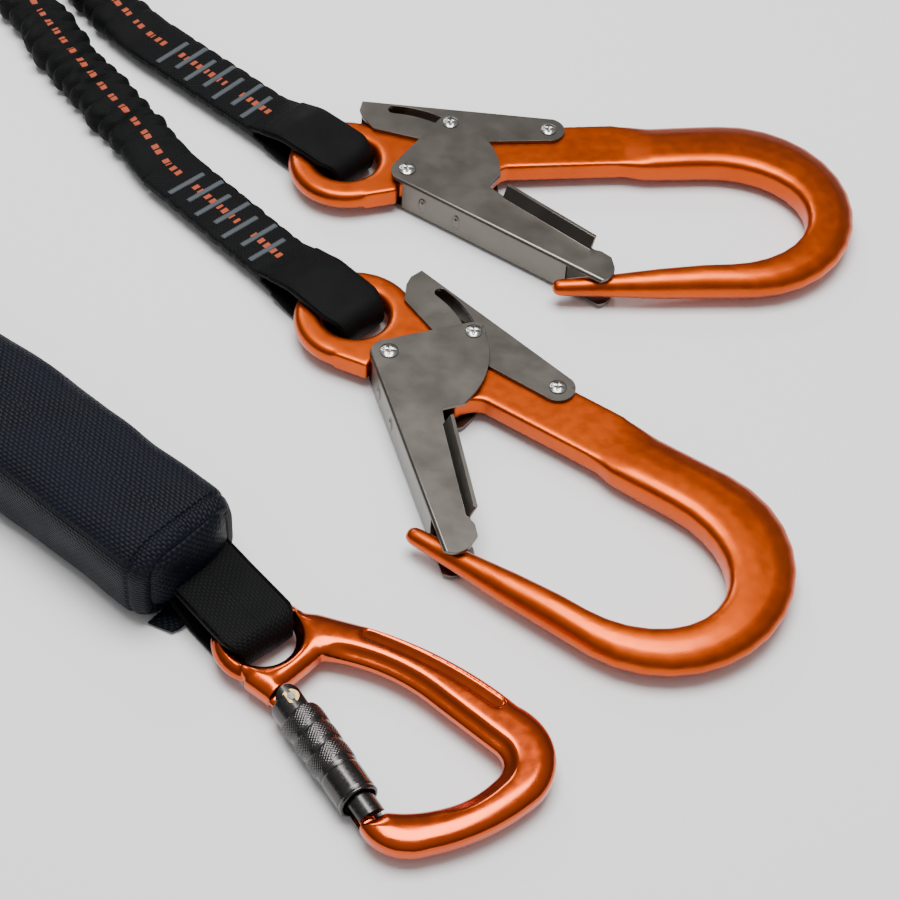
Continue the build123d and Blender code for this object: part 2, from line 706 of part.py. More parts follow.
def make_hook(name, hook):
    """Write every part of one scaffold hook and the webbing in its eye."""
    pivot = hook["pivot"]
    turn = hook["turn"]
    eye_turn = math.radians(turn)
    eye_place = (pivot[0] + EYE[0] * math.cos(eye_turn) - EYE[1] * math.sin(eye_turn),
                 pivot[1] + EYE[0] * math.sin(eye_turn) + EYE[1] * math.cos(eye_turn))

    def in_hook(shape):
        return placed(shape, pivot, HOOK_MID_HEIGHT, turn)

    def in_strap(shape):
        return placed(shape, eye_place, 0, hook["strap_heading"])

    guide = rivet(GUIDE_SHAFT_R, 3.7, GATE_HALF).moved(Location((*GUIDE, 0)))
    lever_pin = rivet(LEVER_SHAFT_R, 3.7, LEVER_HALF + 0.05)
    lever_pin = lever_pin.moved(Location((*LEVER_PIVOT, 0)))
    save(f"hook_body_{name}", in_hook(hook_body()))
    save(f"gate_channel_{name}", in_hook(gate_channel()))
    save(f"gate_pivot_rivet_{name}", in_hook(rivet(PIVOT_SHAFT_R, 4.0, GATE_HALF + 0.05)))
    save(f"guide_rivet_{name}", in_hook(guide))
    save(f"squeeze_lever_{name}", in_hook(squeeze_lever()))
    save(f"lever_pivot_rivet_{name}", in_hook(lever_pin))
    save(f"spacer_washers_{name}", *[in_hook(washer) for washer in spacer_washers()])
    save(f"gate_spring_{name}", in_hook(gate_spring()))
    save(f"lever_spring_{name}", in_hook(lever_spring()))
    save(f"eye_loop_{name}", in_strap(eye_loop()))
    save(f"wear_sleeve_{name}", in_strap(wear_sleeve()))
    save(f"sewn_strap_{name}", in_strap(sewn_strap()))
    save(f"bar_tacks_{name}", *[in_strap(tack) for tack in bar_tacks()])
    save(f"elastic_leg_{name}", elastic_leg(LEG_ROUTE[name]))
    print("eye", name, [round(value, 2) for value in eye_place])


def make_carabiner():
    """Write every part of the carabiner."""
    def in_frame(shape):
        return placed(shape, CARABINER_PLACE, CARABINER_MID_HEIGHT, CARABINER_TURN)

    pin = peg(gate_frame_point(54.0, 1.0), 1.0, -4.4, 4.4)
    hinge_rivet = peg(HINGE, 1.55, -5.95, 5.95)
    save("carabiner_body", in_frame(carabiner_body()))
    save("gate_barrel", in_frame(gate_barrel() - hinge_washers()[0] - hinge_washers()[1]))
    save("hinge_rivet", in_frame(hinge_rivet))
    save("hinge_washers", *[in_frame(washer) for washer in hinge_washers()])
    save("latch_pin", in_frame(pin))
    plunger = along_gate(peg((0, 0), PLUNGER_BORE_R - RUNNING_FIT, 5.8, 12.0))
    spring = along_gate(joined_spring(12.1, PLUNGER_BORE_END - 0.1, 1.7, 0.35, 8))
    save("gate_plunger", in_frame(plunger))
    save("gate_return_spring", in_frame(spring))
    save("locking_sleeve", in_frame(locking_sleeve()))
    save("sleeve_guide_ring", in_frame(along_gate(tube(6.8, BARREL_R + 0.06, 9, 17))))
    spring = along_gate(joined_spring(17.2, COLLAR_START - 0.1, 6.35, 0.36, 7))
    save("sleeve_spring", in_frame(spring))


def make_absorber():
    """Write every part of the absorber pouch and its webbing."""
    save("absorber_cover", pouch_frame(absorber_cover()))
    save("front_panel", pouch_frame(end_panel(0, 3.2, 19.5, 22.5)))
    save("rear_panel", pouch_frame(end_panel(POUCH_LENGTH - 2, 0.0, 16.0, 22.5)))
    save("front_hem", pouch_frame(pouch_box(-8.0, -0.05, 20, 0.2, 1.7)))
    save("tear_webbing", pouch_frame(pouch_box(28, POUCH_LENGTH - 18, 20, 3, 36)))
    ring_place = (RING_CENTRE[0], RING_CENTRE[1])
    turn = math.radians(CARABINER_TURN)
    ring_x = ring_place[0] * math.cos(turn) - ring_place[1] * math.sin(turn)
    ring_y = ring_place[0] * math.sin(turn) + ring_place[1] * math.cos(turn)
    ring_world = (CARABINER_PLACE[0] + ring_x, CARABINER_PLACE[1] + ring_y)
    save("front_loop", placed(front_loop(), ring_world, 0, LOOP_HEADING))
    save("root_strap_b", root_strap(LEG_ROUTE["b"][-1], 9.3, 15.3))
    save("root_strap_a", root_strap(LEG_ROUTE["a"][-1], 3.0, 9.0))
    print("ring", [round(value, 2) for value in ring_world])


os.makedirs("parts", exist_ok=True)
for hook_name, hook_place in HOOKS.items():
    make_hook(hook_name, hook_place)
make_carabiner()
make_absorber()
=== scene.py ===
import json
import math
import random

import bmesh
import bpy
from mathutils import Matrix, Vector, noise
from mathutils.kdtree import KDTree


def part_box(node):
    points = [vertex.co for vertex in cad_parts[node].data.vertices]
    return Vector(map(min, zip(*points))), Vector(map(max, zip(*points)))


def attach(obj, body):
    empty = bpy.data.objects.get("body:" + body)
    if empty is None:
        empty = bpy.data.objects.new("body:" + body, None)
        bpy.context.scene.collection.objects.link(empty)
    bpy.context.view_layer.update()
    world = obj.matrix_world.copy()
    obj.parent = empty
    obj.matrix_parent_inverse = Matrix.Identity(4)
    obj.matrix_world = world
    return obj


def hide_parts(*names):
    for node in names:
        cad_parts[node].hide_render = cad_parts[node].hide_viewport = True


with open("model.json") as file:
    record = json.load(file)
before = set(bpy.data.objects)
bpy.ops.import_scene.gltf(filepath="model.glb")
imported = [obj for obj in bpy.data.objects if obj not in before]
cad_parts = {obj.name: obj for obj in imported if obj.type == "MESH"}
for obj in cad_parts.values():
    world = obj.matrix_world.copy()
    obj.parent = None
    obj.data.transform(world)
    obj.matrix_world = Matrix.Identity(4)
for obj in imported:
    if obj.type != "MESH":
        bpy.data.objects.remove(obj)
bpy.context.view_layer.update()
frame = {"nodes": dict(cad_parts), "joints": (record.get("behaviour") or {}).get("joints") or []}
NODES = frame["nodes"]
MM = 0.001
JOINTS = {joint["name"]: joint for joint in frame["joints"]}


# ---------------------------------------------------------------- camera

# The plan that the parts are laid out in has hook a's gate pivot here, in metres;
# PLAN_SHIFT takes a place in that plan to the frame.
PLAN_PIVOT = (-0.0276, 0.1662)
PLAN_SHIFT = Vector((JOINTS["gate_a_hinge"]["pos_m"][0] - PLAN_PIVOT[0],
                     JOINTS["gate_a_hinge"]["pos_m"][1] - PLAN_PIVOT[1], 0.0))


CAMERA_PLACE = (0.0, -0.6099, 0.7195)
CAMERA_AIM = (0.0, 0.0, 0.0188)
CAMERA_ROLL = math.radians(3.83)
FOCAL_LENGTH = 92.57


def make_camera():
    """The camera stands in front of the lanyard and looks down on it."""
    data = bpy.data.cameras.new("camera")
    camera = bpy.data.objects.new("camera", data)
    bpy.context.scene.collection.objects.link(camera)
    place = PLAN_SHIFT + Vector(CAMERA_PLACE)
    look = PLAN_SHIFT + Vector(CAMERA_AIM) - place
    turn = look.to_track_quat("-Z", "Y").to_matrix().to_4x4()
    roll = Matrix.Rotation(CAMERA_ROLL, 4, "Z")
    camera.matrix_world = Matrix.Translation(place) @ turn @ roll
    data.lens = FOCAL_LENGTH
    data.sensor_width = 36.0
    data.clip_start = 0.01
    bpy.context.scene.camera = camera


make_camera()


# ---------------------------------------------------------------- materials

class Shader:
    """A small builder for one material's nodes."""

    def __init__(self, name):
        self.material = bpy.data.materials.new(name)
        self.material.use_nodes = True
        self.tree = self.material.node_tree
        self.bsdf = self.tree.nodes["Principled BSDF"]

    def put(self, kind, **values):
        made = self.tree.nodes.new(kind)
        for key, value in values.items():
            setattr(made, key, value)
        return made

    def feed(self, socket, value):
        if isinstance(value, bpy.types.NodeSocket):
            self.tree.links.new(value, socket)
        else:
            socket.default_value = value

    def math(self, operation, first, second=0.0, third=0.0):
        made = self.put("ShaderNodeMath", operation=operation)
        for socket, value in zip(made.inputs, (first, second, third)):
            self.feed(socket, value)
        return made.outputs[0]

    def noise(self, scale, detail=3.0, vector=None, rough=0.5):
        made = self.put("ShaderNodeTexNoise")
        made.inputs["Scale"].default_value = scale
        made.inputs["Detail"].default_value = detail
        made.inputs["Roughness"].default_value = rough
        self.feed(made.inputs["Vector"], vector or self.place())
        return made.outputs["Fac"]

    def place(self):
        return self.put("ShaderNodeTexCoord").outputs["Object"]

    def stretched(self, scale, heading=0.0):
        made = self.put("ShaderNodeMapping")
        made.inputs["Scale"].default_value = scale
        made.inputs["Rotation"].default_value = (0, 0, heading)
        self.feed(made.inputs["Vector"], self.place())
        return made.outputs["Vector"]

    def run(self):
        made = self.put("ShaderNodeUVMap", uv_map="run")
        split = self.put("ShaderNodeSeparateXYZ")
        self.feed(split.inputs[0], made.outputs["UV"])
        return split.outputs[0], split.outputs[1]

    def ramp(self, value, stops):
        made = self.put("ShaderNodeValToRGB")
        self.feed(made.inputs[0], value)
        ramp = made.color_ramp
        while len(ramp.elements) < len(stops):
            ramp.elements.new(0.5)
        for element, (position, colour) in zip(ramp.elements, stops):
            element.position = position
            element.color = (*colour, 1)
        return made.outputs["Color"]

    def range(self, value, low, high, to_low, to_high):
        made = self.put("ShaderNodeMapRange")
        for socket, number in zip(made.inputs, (value, low, high, to_low, to_high)):
            self.feed(socket, number)
        return made.outputs[0]

    def bump(self, height, distance, strength=1.0, after=None):
        made = self.put("ShaderNodeBump")
        made.inputs["Strength"].default_value = strength
        made.inputs["Distance"].default_value = distance
        self.feed(made.inputs["Height"], height)
        if after is not None:
            self.feed(made.inputs["Normal"], after)
        return made.outputs["Normal"]

    def set(self, **values):
        for key, value in values.items():
            self.feed(self.bsdf.inputs[key.replace("_", " ")], value)
        return self.material


def weave_height(shader, pitch_along, pitch_across):
    """Staggered yarn floats: 0 in the gaps and 1 on the crown of each float."""
    along, across = shader.run()
    row = shader.math("DIVIDE", across, pitch_across)
    odd = shader.math("PINGPONG", shader.math("FLOOR", row), 1.0)
    step = shader.math("ADD", shader.math("DIVIDE", along, pitch_along),
                       shader.math("MULTIPLY", odd, 0.5))
    float_wave = shader.math("ABSOLUTE", shader.math("SINE", shader.math(
        "MULTIPLY", step, math.pi)))
    row_wave = shader.math("ABSOLUTE", shader.math("SINE", shader.math(
        "MULTIPLY", row, math.pi)))
    return shader.math("MULTIPLY", shader.math("POWER", float_wave, 0.7),
                       shader.math("POWER", row_wave, 0.6))


def fabric(name, dark, light, pitch, depth, rough, sheen, sheen_tint):
    """Woven cloth: a staggered weave with painted shade in its gaps and a painted highlight on
    the crown of each float, uneven dye, soft creases and a sheen.
    """
    shader = Shader(name)
    height = weave_height(shader, *pitch)
    patches = shader.noise(60.0, 4.0)
    # Painted light: the colour follows the weave's height, with painted shade in the gaps and a
    # painted highlight on the floats, times the uneven dye.
    weave_shade_and_dye = shader.math("MULTIPLY", height, shader.range(patches, 0.3, 0.7, 0.6, 1.0))
    colour = shader.ramp(weave_shade_and_dye, ((0.0, dark), (0.85, light)))
    fuzz = shader.noise(4000.0, 2.0)
    bump = shader.bump(fuzz, 0.00012, 0.5)
    bump = shader.bump(height, depth, 1.0, bump)
    roughness = shader.range(patches, 0.3, 0.7, rough, rough + 0.12)
    return shader.set(Base_Color=colour, Roughness=roughness, Normal=bump, Sheen_Weight=sheen,
                      Sheen_Roughness=0.35, Sheen_Tint=(*sheen_tint, 1),
                      Specular_IOR_Level=0.14)


def anodised(name, colours, rough, grain, coat):
    """Dyed aluminium: metal under a clear oxide, a blasted grain and faint rub marks."""
    shader = Shader(name)
    cloud = shader.noise(35.0, 4.0)
    colour = shader.ramp(cloud, ((0.3, colours[0]), (0.7, colours[1])))
    fine = shader.noise(2600.0, 2.0)
    wear = shader.noise(220.0, 5.0)
    roughness = shader.range(wear, 0.35, 0.7, rough, rough + 0.08)
    bump = shader.bump(fine, grain, 0.6)
    return shader.set(Base_Color=colour, Metallic=1.0, Roughness=roughness, Normal=bump,
                      Coat_Weight=coat, Coat_Roughness=0.12)


def steel(name, tint, rough, heading, stretch=(60.0, 3000.0, 60.0), depth=0.00003,
          streaks=0.14):
    """Rolled or drawn steel: fine parallel scratches, faint smears and a warm cast."""
    shader = Shader(name)
    lines = shader.noise(1.0, 3.0, shader.stretched(stretch, heading))
    smear = shader.noise(90.0, 4.0)
    low = tuple(part * 0.86 for part in tint)
    colour = shader.ramp(smear, ((0.3, low), (0.72, tint)))
    roughness = shader.math("ADD", shader.range(lines, 0.3, 0.7, rough - 0.43 * streaks,
                                                rough + 0.57 * streaks),
                            shader.range(smear, 0.35, 0.7, 0.0, 0.06))
    return shader.set(Base_Color=colour, Metallic=1.0, Roughness=roughness,
                      Normal=shader.bump(lines, depth, 0.5))


SATIN_ORANGE = anodised("satin_orange", ((0.50, 0.064, 0.0015), (0.60, 0.081, 0.002)), 0.33,
                        0.00003, 0.15)
GLOSS_ORANGE = anodised("gloss_orange", ((0.55, 0.062, 0.002), (0.64, 0.078, 0.003)), 0.15,
                        0.000004, 0.35)
# How far each hook's spine is turned in the plan, so that its steel's grain runs along it.
HOOK_TURNS = {"a": 8.02, "b": -31.09}
SHEET_STEEL = {}
for hook, turn in HOOK_TURNS.items():
    SHEET_STEEL[hook] = steel(f"rolled_steel_{hook}", (0.165, 0.150, 0.132), 0.31,
                              math.radians(-turn), (40.0, 1500.0, 40.0), 0.0000002, 0.02)
BRIGHT_STEEL = steel("bright_steel", (0.40, 0.39, 0.37), 0.17, 0.3, (400.0, 900.0, 400.0))
SPRING_STEEL = steel("spring_wire", (0.42, 0.42, 0.43), 0.28, 0.0, (900.0, 900.0, 900.0))
GUNMETAL = steel("gunmetal", (0.085, 0.08, 0.078), 0.2, 0.9, (700.0, 900.0, 700.0), 0.000008)
BRASS = steel("brass_metal", (0.75, 0.50, 0.19), 0.24, 0.4, (500.0, 700.0, 500.0))
# In each cloth, the first colour is the painted shade in the weave's gaps and the second is the
# painted highlight on its floats.
WEBBING = fabric("black_webbing_weave", (0.0003, 0.0003, 0.0004), (0.0024, 0.0027, 0.0034),
                 (0.0024, 0.0011), 0.00026, 0.58, 0.012, (0.55, 0.62, 0.78))
TUBING = fabric("smooth_black_cloth", (0.0004, 0.0004, 0.0005), (0.0010, 0.0011, 0.0014),
                (0.0011, 0.0006), 0.00008, 0.6, 0.008, (0.55, 0.62, 0.78))
ELASTIC = fabric("elastic_webbing_weave", (0.0003, 0.0003, 0.0004), (0.0020, 0.0023, 0.003),
                 (0.0017, 0.0010), 0.0002, 0.6, 0.012, (0.55, 0.62, 0.78))
OXFORD = fabric("navy_oxford", (0.0002, 0.0002, 0.0004), (0.0048, 0.0074, 0.0165),
                (0.0026, 0.0015), 0.00034, 0.46, 0.004, (0.45, 0.55, 0.85))
CORE = fabric("core_webbing_weave", (0.25, 0.24, 0.2), (0.55, 0.53, 0.46),
              (0.0024, 0.0011), 0.0002, 0.6, 0.1, (0.8, 0.8, 0.8))


def thread(name, dark, light):
    """Sewing thread, with fine twist lines."""
    shader = Shader(name)
    twist = shader.noise(1.0, 2.0, shader.stretched((2600.0, 2600.0, 2600.0), 0.5))
    colour = shader.ramp(twist, ((0.3, dark), (0.7, light)))
    return shader.set(Base_Color=colour, Roughness=shader.range(twist, 0.3, 0.7, 0.5, 0.65),
                      Normal=shader.bump(twist, 0.00015, 0.7), Sheen_Weight=0.15,
                      Specular_IOR_Level=0.4)


GREY_THREAD = thread("grey_thread_twist", (0.022, 0.028, 0.034), (0.065, 0.08, 0.094))
TRACER = thread("orange_tracer", (0.26, 0.028, 0.002), (0.48, 0.062, 0.004))


# ---------------------------------------------------------------- meshes

def mesh_object(name, points, faces, materials, uvs=None, indices=None):
    """A smooth mesh object; uvs holds one pair of metres per face corner."""
    data = bpy.data.meshes.new(name)
    data.from_pydata([tuple(point) for point in points], [], faces)
    if uvs is not None:
        layer = data.uv_layers.new(name="run")
        for slot, pair in zip(layer.data, uvs):
            slot.uv = pair
    for material in materials:
        data.materials.append(material)
    if indices is not None:
        data.polygons.foreach_set("material_index", indices)
    data.polygons.foreach_set("use_smooth", [True] * len(data.polygons))
    data.update()
    made = bpy.data.objects.new(name, data)
    bpy.context.scene.collection.objects.link(made)
    return made


def loft(name, rings, along, around, materials, mark=None):
    """Skin closed rings and close both ends. mark(i, j) gives a face's material index."""
    count = len(rings[0])
    points = [point for ring in rings for point in ring]
    faces, uvs, indices = [], [], []
    for i in range(len(rings) - 1):
        for j in range(count):
            k = (j + 1) % count
            faces.append((i * count + j, i * count + k, (i + 1) * count + k,
                          (i + 1) * count + j))
            uvs += [(along[i], around[j]), (along[i], around[j + 1]),
                    (along[i + 1], around[j + 1]), (along[i + 1], around[j])]
            indices.append(mark(i, j) if mark else 0)
    for row, flip in ((0, True), (len(rings) - 1, False)):
        hub = len(points)
        points.append(sum(rings[row], Vector()) / count)
        for j in range(count):
            k = (j + 1) % count
            corner = (row * count + j, row * count + k)
            faces.append((corner[1], corner[0], hub) if flip else (*corner, hub))
            uvs += [(0.0, around[j]), (0.0, around[j + 1]), (0.002, around[j])]
            indices.append(0)
    made = mesh_object(name, points, faces, materials, uvs, indices)
    fix_normals(made)
    return made


def fix_normals(made):
    """Turn every face outward."""
    work = bmesh.new()
    work.from_mesh(made.data)
    bmesh.ops.recalc_face_normals(work, faces=work.faces)
    work.to_mesh(made.data)
    work.free()


def stand_for(piece, body, node):
    """Put a piece on its body, in the place of its CAD node, and hide the node."""
    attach(piece, body)
    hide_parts(node)


def section_ring(power, top_steps, side_steps):
    """A superellipse of half-size 1, from its top round to its right, bottom and left."""
    quarter = [(f, (1 - f ** power) ** (1 / power)) for f in top_steps]
    quarter += [((1 - g ** power) ** (1 / power), g) for g in side_steps]
    lower = [(x, -z) for x, z in reversed(quarter[:-1])]
    right = quarter + lower
    left = [(-x, z) for x, z in reversed(right[1:-1])]
    return right + left


def ring_lengths(ring, half_width, half_height):
    """Distances round a ring, with the full length last."""
    total, out = 0.0, [0.0]
    for (x0, z0), (x1, z1) in zip(ring, ring[1:] + ring[:1]):
        total += math.hypot((x1 - x0) * half_width, (z1 - z0) * half_height)
        out.append(total)
    return out


def smoothstep(value):
    value = min(1.0, max(0.0, value))
    return value * value * (3 - 2 * value)


def resample(points, step):
    """Evenly spaced points on a polyline, each with its distance along it."""
    lengths = [0.0]
    for first, second in zip(points, points[1:]):
        lengths.append(lengths[-1] + (second - first).length)
    count = max(2, round(lengths[-1] / step))
    out, seat = [], 0
    for index in range(count + 1):
        want = lengths[-1] * index / count
        while seat < len(lengths) - 2 and lengths[seat + 1] < want:
            seat += 1
        share = (want - lengths[seat]) / (lengths[seat + 1] - lengths[seat])
        out.append((want, points[seat].lerp(points[seat + 1], min(1.0, share))))
    return out


def ahead_at(spots, index, span):
    """The direction of a resampled path, taken over span places to each side."""
    before = spots[max(0, index - span)][1]
    after = spots[min(len(spots) - 1, index + span)][1]
    return (after - before).normalized()


def central(column, count):
    """Whether a column of a lofted ring is in the strip along the middle of its top."""
    return column in (0, 1, count - 1, count - 2)


def smooth_path(corners, order=3):
    """Points of the NURBS curve that has these control points."""
    data = bpy.data.curves.new("route", "CURVE")
    data.dimensions = "3D"
    data.resolution_u = 16
    spline = data.splines.new("NURBS")
    spline.points.add(len(corners) - 1)
    for point, corner in zip(spline.points, corners):
        point.co = (*corner, 1.0)
    spline.order_u = order
    spline.use_endpoint_u = True
    curve = bpy.data.objects.new("route", data)
    bpy.context.scene.collection.objects.link(curve)
    bpy.context.view_layer.update()
    mesh = bpy.data.meshes.new_from_object(curve.evaluated_get(
        bpy.context.evaluated_depsgraph_get()))
    out = [vertex.co.copy() for vertex in mesh.vertices]
    bpy.data.objects.remove(curve)
    return out


def headed(origin, heading):
    """A function that takes (along, across, up) to a place in the shared frame."""
    cosine, sine = math.cos(heading), math.sin(heading)

    def place(along, across, up):
        return Vector((origin[0] + along * cosine - across * sine,
                       origin[1] + along * sine + across * cosine, up))
    return place


TOP_STEPS = (0, 0.055, 0.115, 0.2, 0.3, 0.4, 0.5, 0.6, 0.7, 0.79, 0.86)
SIDE_STEPS = (0.5, 0.33, 0.16, 0)


# ---------------------------------------------------------------- elastic legs

LEG_ROUTES = {
    "b": ((-135, 166), (-152, 188), (-172, 212), (-193, 240), (-214, 271), (-238, 306),
          (-285, 344), (-344, 350), (-395, 321), (-417, 267), (-404, 209), (-365, 169),
          (-322, 140)),
    "a": ((-154, 255), (-170, 269), (-187, 290), (-209, 324), (-245, 371), (-302, 392),
          (-362, 384), (-415, 353), (-448, 302), (-455, 242), (-432, 186), (-395, 146),
          (-346, 112)),
}
LEG_STEP = 0.0008
LEG_WIDTH = 0.027
FLOOR_GAP = 0.0001
LEG_RING = section_ring(2.7, TOP_STEPS, SIDE_STEPS)
LEG_MID = 0.008
STRAP_MID = 0.0078


def gathers(length, rng):
    """Where each gathered hump of the elastic starts, and how full it is."""
    marks, place = [], -0.004
    while place < length + 0.02:
        marks.append((place, rng.uniform(0.62, 1.16)))
        place += rng.uniform(0.0074, 0.0116)
    return marks


def fullness(marks, place):
    """How full the gathers are at a place, 0 in a valley, and how far along its hump it is."""
    for (start, full), (stop, _) in zip(marks, marks[1:]):
        if start <= place < stop:
            share = (place - start) / (stop - start)
            return full * max(0.0, 1 - abs(2 * share - 1) ** 2.4) ** 0.62, share
    return 0.5, 0.5


def elastic_leg(name, seed):
    """A tube of gathered elastic webbing that follows its route over the floor."""
    rng = random.Random(seed)
    corners = [(x * MM + PLAN_SHIFT.x, y * MM + PLAN_SHIFT.y, LEG_MID)
               for x, y in LEG_ROUTES[name]]
    path = smooth_path(corners)
    spots = resample(path, LEG_STEP)
    length = spots[-1][0]
    marks = gathers(length, rng)
    sides = {1: gathers(length, rng), -1: gathers(length, rng)}
    rings, along, shares = [], [], []
    for index, (place, spot) in enumerate(spots):
        ahead = ahead_at(spots, index, 4)
        left = Vector((-ahead.y, ahead.x, 0))
        grown = smoothstep(place / 0.026)
        swell = smoothstep((place - 0.006) / 0.030)
        closing = smoothstep((length - place) / 0.012)
        ring = []
        for x, z in LEG_RING:
            side = 1 if z >= 0 else -1
            skew = 0.0028 * noise.noise(Vector((place * 60, x * 1.3, seed)))
            skew += 0.0030 * x * noise.noise(Vector((place * 25, 7.0, seed)))
            puff, _ = fullness(marks, place + skew + 0.0006 * side * x)
            edge, _ = fullness(sides[1 if x > 0 else -1], place + skew)
            share = smoothstep((abs(x) - 0.25) / 0.6)
            puff += (edge - puff) * share
            rough = noise.noise(Vector((place * 420, x * 3.4, z * 2.6 + seed)))
            pinch = 0.10 * math.exp(-(x / 0.16) ** 2) if z > 0 else 0.0
            lump = 0.0012 * noise.noise(Vector((place * 48, x * 0.8, seed + 40)))
            wide = 0.0140 + swell * (-0.0042 + 0.0043 * puff + 0.0005 * rough + lump)
            high = 0.0030 + grown * 0.0024 + swell * (-0.0004 + 0.0028 * puff * (1 - pinch)
                                                     + 0.00055 * rough + 0.6 * lump)
            wide *= 0.86 + 0.14 * closing
            up = STRAP_MID + grown * (LEG_MID - STRAP_MID)
            ring.append(spot + left * (x * wide) + Vector((0, 0, up - LEG_MID + z * high)))
        for point in ring:
            point.z = max(FLOOR_GAP, point.z)
        rings.append(ring)
        along.append(place)
        shares.append(fullness(marks, place)[1])
    around = ring_lengths(LEG_RING, LEG_WIDTH / 2, 0.0076)

    def tracer(i, j):
        dash = 0.20 < shares[i] < 0.44 or 0.56 < shares[i] < 0.78
        return 1 if central(j, len(LEG_RING)) and dash else 0

    leg = loft(f"elastic_leg_{name}_cloth", rings, along, around, (ELASTIC, TRACER), tracer)
    stand_for(leg, "lanyard", f"elastic_leg_{name}")
    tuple(path[0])
    return path


ELASTIC_PATHS = {"a": elastic_leg("a", 3), "b": elastic_leg("b", 11)}


# ---------------------------------------------------------------- straps at the hooks

STRAP_HEADINGS = {"a": math.radians(141), "b": math.radians(136)}
STRAP_RING = section_ring(5.0, (0, 0.062, 0.125, 0.24, 0.36, 0.48, 0.6, 0.7, 0.8, 0.88, 0.94),
                          (0.75, 0.5, 0.25, 0))
TACK_FIRST, TACK_PITCH, TACK_COUNT = 0.056, 0.0093, 7
STRAP_START, STRAP_END = 0.046, 0.1275
STRAP_HALF, STRAP_TOP = 0.0140, 0.0108
TRACER_START, TRACER_GROUP, TRACER_PITCH = 0.0485, 0.0225, 0.0041


def tack_places():
    """Where the bar tacks lie along a strap, from the eye's centre."""
    return [TACK_FIRST + TACK_PITCH * index for index in range(TACK_COUNT)]


def strap_half(along):
    """Half of the strap's width: it is drawn in a little at each tack."""
    return STRAP_HALF - 0.0004 * max(math.exp(-((along - tack) / 0.0016) ** 2)
                                 for tack in tack_places())


def sewn_strap(name, place, seed):
    """The strap's layers where they are sewn together behind the loop."""
    rings, along = [], []
    steps = 110
    for index in range(steps + 1):
        reach = STRAP_START + (STRAP_END - STRAP_START) * index / steps
        dent = max(math.exp(-((reach - tack) / 0.0018) ** 2) for tack in tack_places())
        ring = []
        for x, z in STRAP_RING:
            wave = 0.00022 * noise.noise(Vector((reach * 240, x * 1.6, seed)))
            wobble = 0.0003 * noise.noise(Vector((reach * 120, 3 + 2 * (x > 0), seed)))
            ring.append(place(reach, x * (strap_half(reach) + wobble),
                              STRAP_MID + z * 0.0030 + (wave - 0.00025 * dent) * (z > 0)))
        rings.append(ring)
        along.append(reach)
    around = ring_lengths(STRAP_RING, STRAP_HALF, 0.003)

    def tracer(i, j):
        reach = along[i] - TRACER_START
        stitch = reach % TRACER_GROUP < 0.0195 and reach % TRACER_PITCH < 0.0021
        return 1 if central(j, len(STRAP_RING)) and stitch else 0

    strap = loft(f"sewn_strap_{name}_cloth", rings, along, around, (WEBBING, TRACER), tracer)
    stand_for(strap, "lanyard", f"sewn_strap_{name}")


def bar_tacks(name, place):
    """Dense rows of thread across the strap, each stitch a low ridge."""
    points, faces, uvs = [], [], []
    rows = 70
    profile = [(-1, -0.4), (-0.86, 0.35), (-0.5, 0.85), (0, 1), (0.5, 0.85), (0.86, 0.35),
               (1, -0.4)]
    for tack_index, tack in enumerate(tack_places()):
        base = len(points)
        for row in range(rows + 1):
            across = -0.0100 + 0.020 * row / rows + 0.0016 * (-1) ** tack_index
            end = min(1.0, (rows / 2 - abs(row - rows / 2)) / 3)
            end = math.sqrt(max(0.02, end))
            stitch = 0.72 + 0.28 * abs(math.sin(math.pi * row / 2.0 + tack_index))
            lean = 0.00022 * math.sin(math.pi * row / 1.9)
            for along, up in profile:
                points.append(place(tack + lean + along * 0.0014 * (0.75 + 0.25 * end),
                                    across, STRAP_TOP - 0.00015 + up * 0.00062 * stitch * end))
        wide = len(profile)
        for row in range(rows):
            for step in range(wide):
                after = (step + 1) % wide
                low = base + row * wide
                faces.append((low + step, low + after, low + wide + after, low + wide + step))
                for pair in ((0, 0), (0, 1), (1, 1), (1, 0)):
                    uvs.append((tack + (step + pair[1]) * 0.0003, (row + pair[0]) * 0.00033))
        for row in (0, rows):
            low = base + row * wide
            faces.append(tuple(low + step for step in range(wide)))
            uvs += [(tack, 0.0)] * wide
    tacks = mesh_object(f"bar_tacks_{name}_thread", points, faces, (GREY_THREAD,), uvs)
    fix_normals(tacks)
    stand_for(tacks, "lanyard", f"bar_tacks_{name}")


def loop_path(corners, radii, steps=14):
    """A polyline in the (along, up) plane with its corners rounded by arcs."""
    out = [Vector(corners[0])]
    for index, radius in zip(range(1, len(corners) - 1), radii):
        before, corner, after = (Vector(corners[index + shift]) for shift in (-1, 0, 1))
        back = (before - corner).normalized()
        front = (after - corner).normalized()
        half = back.angle(front) / 2
        reach = radius / math.tan(half)
        centre = corner + (back + front).normalized() * (radius / math.sin(half))
        first = corner + back * reach - centre
        last = corner + front * reach - centre
        turn = first.angle_signed(last)
        for step in range(steps + 1):
            out.append(centre + rotated(first, -turn * step / steps))
    out.append(Vector(corners[-1]))
    return out


def rotated(vector, angle):
    """A plane vector, turned."""
    cosine, sine = math.cos(angle), math.sin(angle)
    return Vector((vector.x * cosine - vector.y * sine, vector.x * sine + vector.y * cosine))


